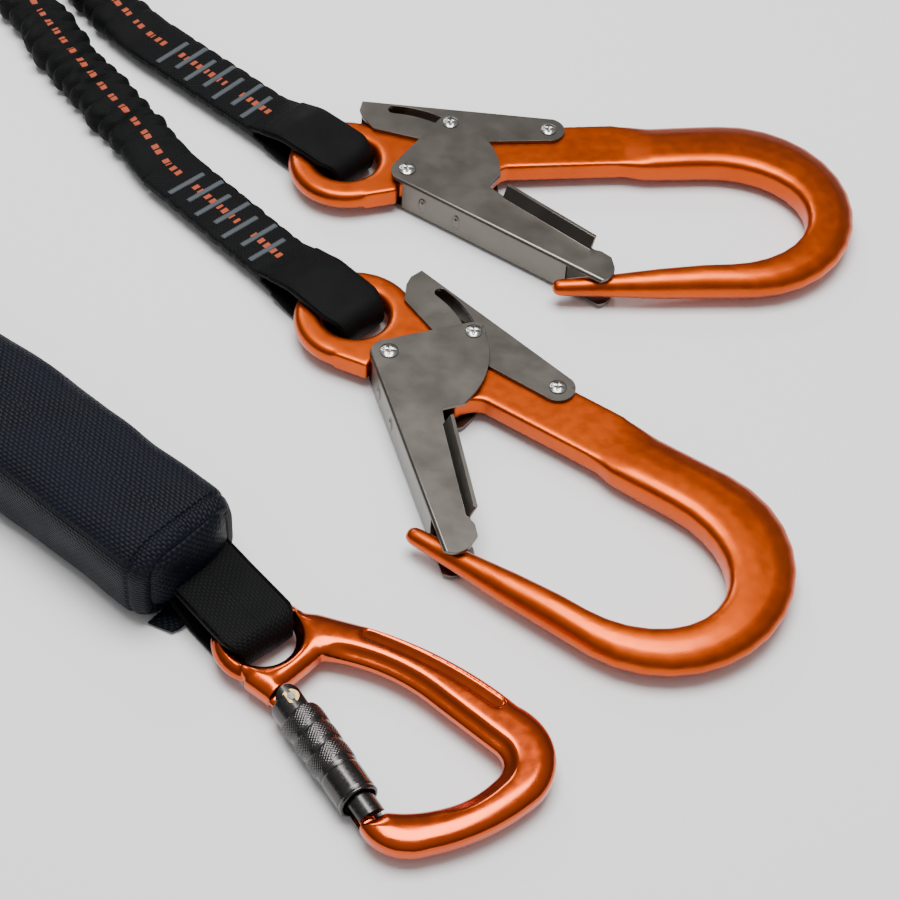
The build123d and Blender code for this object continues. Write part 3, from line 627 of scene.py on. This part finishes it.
def band(name, place, path, half_width, inner, outer, ring, material, seed, bulge=0.0,
         puff=0.0002):
    """Webbing that follows a path in the (along, up) plane.

    inner and outer are how far its two faces stand from the path, and half_width gives the
    half width for a distance along the strap's own axis."""
    spots = resample([Vector((point.x, 0, point.y)) for point in path], 0.0011)
    rings, along = [], []
    for index, (reach, spot) in enumerate(spots):
        ahead = ahead_at(spots, index, 1)
        out = Vector((ahead.z, 0, -ahead.x))
        half = half_width(spot.x)
        middle, thick = (outer + inner) / 2, (outer - inner) / 2
        points = []
        for x, z in ring:
            wave = puff * noise.noise(Vector((reach * 90, x * 1.5, seed + z)))
            crown = bulge * (1 - x * x) if z > 0 else 0.0
            spread = spot + out * (middle + z * thick + wave + crown)
            points.append(place(spread.x, x * half, spread.z))
        rings.append(points)
        along.append(reach)
    around = ring_lengths(ring, 0.014, (outer - inner) / 2)
    return loft(name, rings, along, around, (material,))


# The heights of the middle of the webbing over and under the eye, and how much less than
# half of their gap a bend's radius is, so that both bends fit between them.
LOOP_HIGH, LOOP_LOW = 0.01625, 0.00295
BEND_EASE = 0.00002
ROOT_RADIUS = 0.018
LOOP_RING = section_ring(4.5, (0, 0.15, 0.3, 0.45, 0.6, 0.72, 0.82, 0.9, 0.96),
                         (0.8, 0.55, 0.28, 0))
SLEEVE_RING = section_ring(3.2, (0, 0.15, 0.3, 0.45, 0.6, 0.72, 0.82, 0.9, 0.96),
                           (0.75, 0.5, 0.25, 0))


def throat(narrow, wide):
    """The half width of a band that is narrow inside an eye and full outside it."""
    return lambda reach: narrow + (wide - narrow) * smoothstep((reach + 0.0062) / 0.0105)


def eye_webbing(name, place, seed):
    """The loop through the eye, and the cloth tube that guards it."""
    low, high = LOOP_LOW, LOOP_HIGH
    bend = (high - low) / 2 - BEND_EASE
    left = 0.0015 - (high - low) / 2
    join = 0.0078
    path = loop_path(((STRAP_START + 0.004, join + 0.0012), (0.027, high), (left, high),
                      (left, low), (0.027, low), (STRAP_START + 0.004, join - 0.0012)),
                     (ROOT_RADIUS, bend, bend, ROOT_RADIUS))
    loop = band(f"eye_loop_{name}_cloth", place, path, throat(0.0112, 0.0138), -0.00135,
                0.00135, LOOP_RING, WEBBING, seed)
    stand_for(loop, "lanyard", f"eye_loop_{name}")
    path = loop_path(((0.0405, 0.0122), (0.027, high), (left, high), (left, low),
                      (0.027, low), (0.0385, 0.0052)),
                     (ROOT_RADIUS, bend, bend, ROOT_RADIUS))
    sleeve = band(f"wear_sleeve_{name}_cloth", place, path, throat(0.0117, 0.0146), -0.0017,
                  0.0020, SLEEVE_RING, TUBING, seed + 5, 0.0004, 0.0005)
    stand_for(sleeve, "lanyard", f"wear_sleeve_{name}")


for name, seed in (("a", 21), ("b", 34)):   # each hook's strap, and its cloth's own waves
    eye = JOINTS[f"hook_{name}_swivel"]["pos_m"]
    strap_place = headed(eye, STRAP_HEADINGS[name])
    sewn_strap(name, strap_place, seed)
    bar_tacks(name, strap_place)
    eye_webbing(name, strap_place, seed)


# ---------------------------------------------------------------- metal parts

def copied(name, node, body, material):
    """A welded copy of a CAD node's mesh, which stands for it."""
    work = bmesh.new()
    work.from_mesh(NODES[node].data)
    bmesh.ops.remove_doubles(work, verts=work.verts, dist=0.00001)
    bmesh.ops.dissolve_limit(work, angle_limit=math.radians(0.5), verts=work.verts,
                             edges=work.edges)
    data = bpy.data.meshes.new(name)
    work.to_mesh(data)
    work.free()
    data.materials.append(material)
    made = bpy.data.objects.new(name, data)
    bpy.context.scene.collection.objects.link(made)
    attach(made, body)
    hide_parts(node)
    return made


def apply_modifiers(made):
    """Bake an object's modifiers into its mesh."""
    bpy.context.view_layer.update()
    evaluated = made.evaluated_get(bpy.context.evaluated_depsgraph_get())
    data = bpy.data.meshes.new_from_object(evaluated)
    made.modifiers.clear()
    made.data = data
    data.polygons.foreach_set("use_smooth", [True] * len(data.polygons))


def forged(name, node, body, material, voxel, rounds, shape=None):
    """A forged part: its CAD shape with every edge rounded over."""
    made = copied(name, node, body, material)
    remesh = made.modifiers.new("remesh", "REMESH")
    remesh.mode = "VOXEL"
    remesh.voxel_size = voxel
    remesh.use_smooth_shade = True
    apply_modifiers(made)
    if shape:
        shape(made.data)
    soften = made.modifiers.new("soften", "SMOOTH")
    soften.factor = 0.5
    soften.iterations = rounds
    apply_modifiers(made)
    return made


CARABINER_TURN = -39.0
WALL_BAND = 0.0032
DOME_REACH = 0.0078


def forge_carabiner(data):
    """Dome the frame across its width, with a lower flange along its inner edge."""
    swivel = Vector(JOINTS["carabiner_swivel"]["pos_m"])
    middle = swivel.z
    turn = math.radians(CARABINER_TURN)
    forward = Vector((math.cos(turn), math.sin(turn), 0))
    left = Vector((-forward.y, forward.x, 0))
    window = swivel + forward * 0.075 + left * 0.004
    walls, inner = [], []
    for vertex in data.vertices:
        normal = vertex.normal
        if abs(normal.z) > 0.35 or abs(vertex.co.z - middle) > WALL_BAND:
            continue
        spot = Vector((vertex.co.x, vertex.co.y, 0))
        walls.append(spot)
        away = vertex.co - swivel
        if away.dot(forward) > 0.026 and (window - vertex.co).dot(normal) > 0:
            inner.append(spot)
    trees = []
    for spots in (walls, inner):
        tree = KDTree(len(spots))
        for index, spot in enumerate(spots):
            tree.insert(spot, index)
        tree.balance()
        trees.append(tree)
    for vertex in data.vertices:
        spot = Vector((vertex.co.x, vertex.co.y, 0))
        depth = trees[0].find(spot)[2]
        flange = trees[1].find(spot)[2]
        share = min(1.0, depth / DOME_REACH)
        scale = 0.30 + 0.70 * math.sqrt(max(0.0, 1 - (1 - share) ** 2))
        away = vertex.co - swivel
        along, across = away.dot(forward), away.dot(left)
        fade = smoothstep((along - 0.018) / 0.012) * smoothstep((0.118 - along) / 0.02)
        fade *= smoothstep((across + 0.012) / 0.014)
        step = smoothstep((flange - 0.0030) / 0.0022)
        scale *= 1 - 0.36 * fade * (1 - step)
        if depth > 0.0004 or abs(vertex.co.z - middle) > 0.001:
            vertex.co.z = middle + (vertex.co.z - middle) * scale
    data.update()


SHEET_BEVEL = 0.25 * MM
PLATE_AREA = 60 * MM * MM


def flatten_plates(made):
    """Keep large flat faces flat, and their bevels and folds smooth."""
    for face in made.data.polygons:
        face.use_smooth = face.area < PLATE_AREA


def stamped(name, node, body, material):
    """A stamped sheet part: its CAD shape with each sharp edge broken."""
    made = copied(name, node, body, material)
    bevel = made.modifiers.new("bevel", "BEVEL")
    bevel.width = SHEET_BEVEL
    bevel.segments = 2
    bevel.limit_method = "ANGLE"
    bevel.angle_limit = math.radians(38)
    bevel.use_clamp_overlap = True
    apply_modifiers(made)
    flatten_plates(made)
    return made


def finish_node(node, material):
    """Give a CAD node that stays visible a real finish."""
    for slot in NODES[node].material_slots:
        slot.material = material


def peened_rivet(node, body, shaft_r):
    """A rivet whose two domed heads carry the cross-shaped mark of the peening tool."""
    low, high = (Vector(corner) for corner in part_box(node))
    centre = (low + high) / 2
    head_r = (high[0] - low[0]) / 2
    half = (high[2] - low[2]) / 2
    rim, dome, turns = 0.0004, 0.00095, 48
    face = half - rim - dome
    outline = [(share, face + rim + dome * (1 - share ** 2.6))
               for share in (0.08, 0.2, 0.32, 0.44, 0.56, 0.68, 0.78, 0.87, 0.94, 1.0)]
    upper = [(share * head_r, high_at) for share, high_at in outline]
    upper += [(head_r, face + 0.0001), (shaft_r, face + 0.00005), (shaft_r, face - 0.0002)]
    profile = [(radius, -level) for radius, level in upper]
    profile += [(radius, level) for radius, level in reversed(upper)]
    rings = []
    for radius, level in profile:
        ring = []
        for step in range(turns):
            angle = 2 * math.pi * step / turns
            mark = 0.0
            if abs(level) > face + rim:
                arm = min(abs(math.sin(angle)), abs(math.cos(angle))) * radius
                fade = smoothstep((0.86 - radius / head_r) / 0.2)
                mark = 0.0003 * math.exp(-(arm / 0.0006) ** 2) * fade
            ring.append(centre + Vector((radius * math.cos(angle), radius * math.sin(angle),
                                         level - math.copysign(mark, level))))
        rings.append(ring)
    along = [0.0005 * index for index in range(len(rings))]
    around = [head_r * 2 * math.pi * step / turns for step in range(turns + 1)]
    made = loft(f"{node}_peened", rings, along, around, (BRIGHT_STEEL,))
    made.data.set_sharp_from_angle(angle=math.radians(40))
    stand_for(made, body, node)


# In a hook's own frame: its lever pivot, the heading of its gate's web, the web's distance from
# the gate pivot, and where the two bosses are along it.
HOOK_LEVER_PIVOT = (67.2, 25.8)
WEB_HEADING = math.radians(-39.3)
WEB_OFFSET = 0.0083
BOSS_PLACES = (0.0145, 0.0325)


def gate_bosses(made, hook):
    """Two pressed ovals on the gate's web, each with a small hole near its top."""
    pivot = Vector(JOINTS[f"gate_{hook}_hinge"]["pos_m"])
    lever = Vector(JOINTS[f"lever_{hook}_hinge"]["pos_m"])
    turn = math.atan2(lever.y - pivot.y, lever.x - pivot.x) - math.atan2(
        HOOK_LEVER_PIVOT[1], HOOK_LEVER_PIVOT[0])
    heading = turn + WEB_HEADING
    along = Vector((math.cos(heading), math.sin(heading), 0))
    out = Vector((along.y, -along.x, 0))
    if out.dot(pivot - lever) < 0:
        out = -out
    points, faces, indices = [], [], []
    rows, turns = 14, 40
    for distance in BOSS_PLACES:
        base = len(points)
        centre = pivot + out * WEB_OFFSET + along * distance
        for row in range(rows + 1):
            share = row / rows
            for step in range(turns):
                angle = 2 * math.pi * step / turns
                side = 0.0024 * share * math.cos(angle)
                rise = 0.0046 * share * math.sin(angle)
                lift = 0.00055 * (1 - smoothstep((share - 0.62) / 0.38)) - 0.00003
                hole = math.hypot(side, rise - 0.0022)
                lift -= 0.0005 * (1 - smoothstep((hole - 0.0006) / 0.0003))
                points.append(centre + along * side + Vector((0, 0, rise)) + out * lift)
        for row in range(rows):
            for step in range(turns):
                after = (step + 1) % turns
                low = base + row * turns
                faces.append((low + step, low + turns + step, low + turns + after,
                              low + after))
    data = bpy.data.meshes.new("bosses")
    data.from_pydata([tuple(point) for point in points], [], faces)
    work = bmesh.new()
    work.from_mesh(data)
    bmesh.ops.remove_doubles(work, verts=work.verts, dist=0.000001)
    bmesh.ops.recalc_face_normals(work, faces=work.faces)
    for face in work.faces:
        face.smooth = True
        if face.normal.dot(out) < 0:
            face.normal_flip()
    work.from_mesh(made.data)
    work.to_mesh(made.data)
    work.free()


for hook in ("a", "b"):
    forged(f"hook_body_{hook}_forged", f"hook_body_{hook}", f"hook_{hook}", SATIN_ORANGE,
           0.0007, 28)
    gate = stamped(f"gate_channel_{hook}_stamped", f"gate_channel_{hook}", f"gate_{hook}",
                   SHEET_STEEL[hook])
    gate_bosses(gate, hook)
    flatten_plates(gate)
    stamped(f"squeeze_lever_{hook}_stamped", f"squeeze_lever_{hook}", f"lever_{hook}",
            SHEET_STEEL[hook])
    peened_rivet(f"gate_pivot_rivet_{hook}", f"hook_{hook}", 0.0030)
    peened_rivet(f"lever_pivot_rivet_{hook}", f"hook_{hook}", 0.0025)
    peened_rivet(f"guide_rivet_{hook}", f"gate_{hook}", 0.0021)
    finish_node(f"spacer_washers_{hook}", BRIGHT_STEEL)
    for node in ("gate_spring", "lever_spring"):
        finish_node(f"{node}_{hook}", SPRING_STEEL)

forged("carabiner_body_forged", "carabiner_body", "carabiner", GLOSS_ORANGE, 0.0005, 14,
       forge_carabiner)
for node, material in (("gate_barrel", GUNMETAL), ("hinge_washers", BRASS),
                       ("latch_pin", BRIGHT_STEEL), ("hinge_rivet", BRIGHT_STEEL),
                       ("gate_plunger", BRIGHT_STEEL), ("gate_return_spring", SPRING_STEEL),
                       ("sleeve_spring", SPRING_STEEL), ("sleeve_guide_ring", GUNMETAL)):
    finish_node(node, material)


# ---------------------------------------------------------------- locking sleeve

def locking_sleeve():
    """The gate's sleeve: a thin tube with three knurled bands and a skirt at the hinge."""
    hinge = Vector(JOINTS["carabiner_gate_hinge"]["pos_m"])
    axis = Vector(JOINTS["sleeve_slide"]["axis"]).normalized()
    across = Vector((-axis.y, axis.x, 0))
    up = Vector((0, 0, 1))
    turns, rows = 252, 240
    start, stop = -0.001, 0.049
    inner, plain = 0.0069, 0.0080
    bands, band_half = (0.0108, 0.0200, 0.0292), 0.0037
    skirt_end, skirt_side = 0.007, -0.0025
    points, faces, uvs = [], [], []

    def outer_radius(reach, angle):
        radius = plain
        for band_centre in bands:
            offset = (reach - band_centre - 0.0009 * math.sin(3 * angle + 1.0)) / band_half
            if abs(offset) < 1:
                lift = (1 - offset ** 4) ** 0.5
                cross = reach * math.pi / 0.0013
                knurl = abs(math.sin(18 * angle + cross) * math.sin(18 * angle - cross))
                radius += lift * (0.00022 + 0.00028 * knurl ** 0.5)
        for groove in (0.0354, 0.0472):
            radius -= 0.00022 * math.exp(-((reach - groove) / 0.0005) ** 2)
        edge = min(reach - start, stop - reach)
        return radius - 0.0004 * max(0.0, 1 - edge / 0.0006) ** 2

    for layer in (0, 1):
        for row in range(rows + 1):
            reach = start + (stop - start) * row / rows
            for step in range(turns):
                angle = 2 * math.pi * step / turns
                radius = inner if layer else outer_radius(reach, angle)
                points.append(hinge + axis * reach + across * (radius * math.cos(angle))
                              + up * (radius * math.sin(angle)))
    layer_size = (rows + 1) * turns
    kept = set()
    for row in range(rows):
        reach = start + (stop - start) * (row + 0.5) / rows
        for step in range(turns):
            side = plain * math.cos(2 * math.pi * (step + 0.5) / turns)
            if reach > skirt_end or side < skirt_side:
                kept.add((row, step))

    def vertex(layer, row, step):
        return layer * layer_size + row * turns + step % turns

    def add(face):
        faces.append(face)
        uvs.extend([(0.0, 0.0), (0.001, 0.0), (0.001, 0.001), (0.0, 0.001)])

    for row, step in sorted(kept):
        add((vertex(0, row, step), vertex(0, row, step + 1), vertex(0, row + 1, step + 1),
             vertex(0, row + 1, step)))
        add((vertex(1, row, step), vertex(1, row + 1, step), vertex(1, row + 1, step + 1),
             vertex(1, row, step + 1)))
        for other, ends in (((row - 1, step), ((row, step), (row, step + 1))),
                            ((row + 1, step), ((row + 1, step + 1), (row + 1, step))),
                            ((row, (step - 1) % turns), ((row + 1, step), (row, step))),
                            ((row, (step + 1) % turns), ((row, step + 1),
                                                         (row + 1, step + 1)))):
            if other not in kept:
                (row0, step0), (row1, step1) = ends
                add((vertex(0, row0, step0), vertex(0, row1, step1),
                     vertex(1, row1, step1), vertex(1, row0, step0)))
    made = mesh_object("locking_sleeve_knurled", points, faces, (GUNMETAL,), uvs)
    work = bmesh.new()
    work.from_mesh(made.data)
    bmesh.ops.delete(work, geom=[v for v in work.verts if not v.link_faces], context="VERTS")
    bmesh.ops.recalc_face_normals(work, faces=work.faces)
    work.to_mesh(made.data)
    work.free()
    made.data.set_sharp_from_angle(angle=math.radians(50))
    stand_for(made, "locking_sleeve", "locking_sleeve")


locking_sleeve()


# ---------------------------------------------------------------- absorber pouch

POUCH_FRONT = (PLAN_SHIFT.x - 0.0952, PLAN_SHIFT.y - 0.0668)
POUCH_HEADING = math.radians(142)
POUCH_LENGTH, POUCH_HALF, POUCH_HIGH = 0.248, 0.026, 0.039
POUCH_PLACE = headed(POUCH_FRONT, POUCH_HEADING)
POUCH_RING = section_ring(4.2, tuple(step / 16 for step in range(14)) + (0.86, 0.90, 0.94),
                          (0.88, 0.8, 0.68, 0.55, 0.4, 0.2, 0))
POUCH_AROUND = ring_lengths(POUCH_RING, POUCH_HALF, POUCH_HIGH / 2)


def pouch_point(reach, x, z, shrink):
    """A point of the cover; shrink draws the section in towards its middle."""
    fold = 0.0011 * noise.noise(Vector((reach * 22, x * 1.1, z * 0.8 + 3)))
    fold += 0.0006 * noise.noise(Vector((reach * 55, x * 2.0, z * 1.6 + 9)))
    crease = 0.0008 * noise.noise(Vector((reach * 38 + x * 1.8, x * 0.4, 17)))
    half = POUCH_HALF + 0.0010 - shrink
    high = POUCH_HIGH / 2 + 0.0002 - shrink
    side = 0.0004 * math.sin(math.pi * min(1.0, reach / POUCH_LENGTH)) * (1 - abs(z))
    point_x = x * (half - side * abs(x) + fold)
    sag = (fold + crease) * (1 if z > 0 else 0.2) * abs(z)
    point_z = POUCH_HIGH / 2 - 0.0002 + z * high + sag
    return POUCH_PLACE(reach, point_x, max(0.0003, point_z))


def absorber_cover():
    """The sewn cover: a puffed sleeve of coarse cloth, drawn in at each end.

    ends are the close steps at the seam, and lips are the rings (reach, shrink) that turn
    the cloth inward past it."""
    rings, along = [], []
    ends = [0.0, 0.0008, 0.0018, 0.003, 0.0045, 0.006, 0.0064, 0.0068, 0.0073, 0.0078]
    lips = ((0.0080, 0.0130), (0.0050, 0.0105), (0.0030, 0.0082), (0.0018, 0.0062))
    reaches = [0.002 + end for end in ends]
    steps = 170
    reaches += [0.0105 + (POUCH_LENGTH - 0.021) * step / steps for step in range(steps + 1)]
    reaches += [POUCH_LENGTH - 0.002 - end for end in reversed(ends)]
    for reach in reaches:
        edge = min(reach, POUCH_LENGTH - reach)
        drawn = max(0.0, 1 - edge / 0.013)
        shrink = 0.0050 * drawn ** 2.2
        shrink += 0.0009 * math.exp(-((edge - 0.0086) / 0.0007) ** 2)
        rings.append([pouch_point(reach, x, z, shrink) for x, z in POUCH_RING])
        along.append(reach)
    for reach, shrink in reversed(lips):
        rings.insert(0, [pouch_point(reach, x, z, shrink) for x, z in POUCH_RING])
        rings.append([pouch_point(POUCH_LENGTH - reach, x, z, shrink) for x, z in POUCH_RING])
        along.insert(0, along[0] - 0.003)
        along.append(along[-1] + 0.003)
    cover = loft("absorber_cover_cloth", rings, along, POUCH_AROUND, (OXFORD,))
    stand_for(cover, "lanyard", "absorber_cover")


absorber_cover()


def flat_weave(made):
    """Lay the weave straight over an end panel."""
    across = POUCH_PLACE(0, 1, 0) - POUCH_PLACE(0, 0, 0)
    layer = made.data.uv_layers["run"].data
    for loop in made.data.loops:
        spot = made.data.vertices[loop.vertex_index].co
        layer[loop.index].uv = (spot.dot(across), spot.z)


CUSHION_INSET = 0.0046
CUSHION_START, CUSHION_PUFF = 0.0062, 0.0088


def end_cushion(node, start, inward):
    """A puffed end panel of the pouch, sewn inside the cover's edge."""
    rings, along = [], []
    steps = 16
    for step in range(steps):
        share = step / steps
        angle = share * math.pi / 2
        depth = math.sin(angle) ** 0.8
        scale = math.cos(angle) ** 0.7
        reach = start - inward * CUSHION_PUFF * depth
        ring = []
        for x, z in POUCH_RING:
            half = (POUCH_HALF - CUSHION_INSET) * scale
            high = (POUCH_HIGH / 2 - CUSHION_INSET) * scale
            wave = 0.0007 * noise.noise(Vector((x * 2 * scale, z * 2 * scale, 31 + start * 9)))
            ring.append(POUCH_PLACE(reach - inward * wave, x * half,
                                    POUCH_HIGH / 2 + 0.0012 + z * high))
        rings.append(ring)
        along.append(share * 0.02)
    panel = loft(f"{node}_cloth", rings, along, POUCH_AROUND, (OXFORD,))
    flat_weave(panel)
    stand_for(panel, "lanyard", node)


end_cushion("front_panel", CUSHION_START, 1)
end_cushion("rear_panel", POUCH_LENGTH - CUSHION_START, -1)


LOOP_HEADING = math.radians(133)
LOOP_PLACE = headed(JOINTS["carabiner_swivel"]["pos_m"], LOOP_HEADING)
CARABINER_MID, RING_THICK, FRONT_WEBBING = 0.0085, 0.0096, 0.0030


def front_loop():
    """The wide webbing through the carabiner's eye."""
    low = CARABINER_MID - RING_THICK / 2 - 0.0004 - FRONT_WEBBING / 2
    high = CARABINER_MID + RING_THICK / 2 + 0.0005 + FRONT_WEBBING / 2
    bend = (high - low) / 2 - BEND_EASE
    left = 0.004 - (high - low) / 2
    path = loop_path(((0.062, 0.0166), (0.040, high), (left, high), (left, low),
                      (0.026, low), (0.042, 0.0075), (0.062, 0.008)),
                     (ROOT_RADIUS, bend, bend, ROOT_RADIUS, ROOT_RADIUS))
    loop = band("front_loop_cloth", LOOP_PLACE, path, throat(0.0104, 0.0160), -0.0015, 0.0015,
                LOOP_RING, WEBBING, 77, 0.0, 0.0003)
    stand_for(loop, "lanyard", "front_loop")


front_loop()


def end_strap(name, seed):
    """A strap from inside the rear of the pouch to the end of a leg."""
    low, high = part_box(f"root_strap_{name}")
    rear = POUCH_PLACE(POUCH_LENGTH - 0.012, 0, 0)
    finish = ELASTIC_PATHS[name][-1]
    heading = math.atan2(finish.y - rear.y, finish.x - rear.x)
    place = headed(rear, heading)
    length = math.hypot(finish.x - rear.x, finish.y - rear.y)
    middle = (low[2] + high[2]) / 2
    path = [Vector((0.0, middle)), Vector((length * 0.5, middle)), Vector((length, middle))]
    strap = band(f"root_strap_{name}_cloth", place, path, lambda reach: 0.0119,
                 -(high[2] - low[2]) / 2, (high[2] - low[2]) / 2, LOOP_RING, WEBBING, seed)
    stand_for(strap, "lanyard", f"root_strap_{name}")


end_strap("a", 5)
end_strap("b", 6)


def tear_webbing():
    """The pack of tear webbing, folded back and forth inside the cover."""
    near, far, low, pitch, folds = 0.032, POUCH_LENGTH - 0.024, 0.0064, 0.0046, 6
    corners = []
    for fold in range(folds):
        level = low + pitch * fold
        ends = (near, far) if fold % 2 == 0 else (far, near)
        corners += [(ends[0], level), (ends[1], level)]
    path = loop_path(corners, [pitch / 2 - BEND_EASE] * (len(corners) - 2), 8)
    pack = band("tear_webbing_folds", POUCH_PLACE, path, lambda reach: 0.0175, -0.00105,
                0.00105, LOOP_RING, CORE, 91)
    stand_for(pack, "lanyard", "tear_webbing")


tear_webbing()


HEM_HALF, HEM_THICK_HALF, HEM_LENGTH = 0.0225, 0.00065, 0.0105


def front_hem():
    """The small raw flap of the cover's hem under its front edge."""
    rings, along = [], []
    flap = section_ring(3.5, tuple(step / 20 for step in range(18)) + (0.94,), (0.6, 0.3, 0))
    for step in range(25):
        share = step / 24
        reach = 0.0030 - HEM_LENGTH * share
        ring = []
        for x, z in flap:
            ragged = 0.0022 * noise.noise(Vector((x * 3.1, 4.0, 1.0))) * share
            curl = 0.0016 * share * share * (
                0.4 + 0.6 * noise.noise(Vector((x * 2.0, 8.0, 2.0))))
            ring.append(POUCH_PLACE(reach + ragged, x * (HEM_HALF - 0.003 * share),
                                    0.0011 + curl + HEM_THICK_HALF * z))
        rings.append(ring)
        along.append(share * HEM_LENGTH)
    around = ring_lengths(flap, HEM_HALF, HEM_THICK_HALF)
    hem = loft("front_hem_cloth", rings, along, around, (OXFORD,))
    stand_for(hem, "lanyard", "front_hem")


front_hem()


# ---------------------------------------------------------------- floor and light

FLOOR_REACH, FLOOR_DROP = 6.0, 0.0002


def make_floor():
    """A pale, matt studio floor."""
    data = bpy.data.meshes.new("floor")
    reach = FLOOR_REACH
    data.from_pydata([(-reach, -reach, 0), (reach, -reach, 0), (reach, reach, 0),
                      (-reach, reach, 0)], [], [(0, 1, 2, 3)])
    shader = Shader("pale_floor")
    mottle = shader.noise(3.0, 2.0)
    shader.set(Base_Color=shader.ramp(mottle, ((0.3, (0.93, 0.93, 0.93)),
                                               (0.7, (0.95, 0.95, 0.95)))), Roughness=0.7)
    data.materials.append(shader.material)
    floor = bpy.data.objects.new("floor", data)
    floor.location.z = -FLOOR_DROP
    bpy.context.scene.collection.objects.link(floor)


def area_light(name, place, aim, size, power):
    """A white rectangular lamp that faces aim."""
    data = bpy.data.lights.new(name, "AREA")
    data.shape = "RECTANGLE"
    data.size, data.size_y = size
    data.energy = power
    light = bpy.data.objects.new(name, data)
    light.location = place
    light.rotation_euler = (Vector(aim) - Vector(place)).to_track_quat("-Z", "Y").to_euler()
    bpy.context.scene.collection.objects.link(light)


def make_light():
    """A grey sky that brightens upward, a wide lamp overhead and a weak one behind."""
    world = bpy.data.worlds.new("studio")
    bpy.context.scene.world = world
    world.use_nodes = True
    tree = world.node_tree
    backdrop = tree.nodes["Background"]
    backdrop.inputs["Strength"].default_value = 1.0
    place = tree.nodes.new("ShaderNodeTexCoord")
    split = tree.nodes.new("ShaderNodeSeparateXYZ")
    ramp = tree.nodes.new("ShaderNodeValToRGB")
    tree.links.new(place.outputs["Generated"], split.inputs[0])
    tree.links.new(split.outputs[2], ramp.inputs[0])
    tree.links.new(ramp.outputs["Color"], backdrop.inputs["Color"])
    stops = ramp.color_ramp.elements
    stops[0].position, stops[0].color = 0.35, (0.20, 0.20, 0.205, 1)
    stops[1].position, stops[1].color = 1.0, (0.62, 0.62, 0.62, 1)
    area_light("overhead", (0.05, 0.15, 1.5), (0.05, 0, 0), (1.0, 0.9), 34.0)
    area_light("back", (-0.5, 1.3, 1.0), (0.05, 0, 0), (0.5, 0.3), 5.0)


make_floor()
make_light()
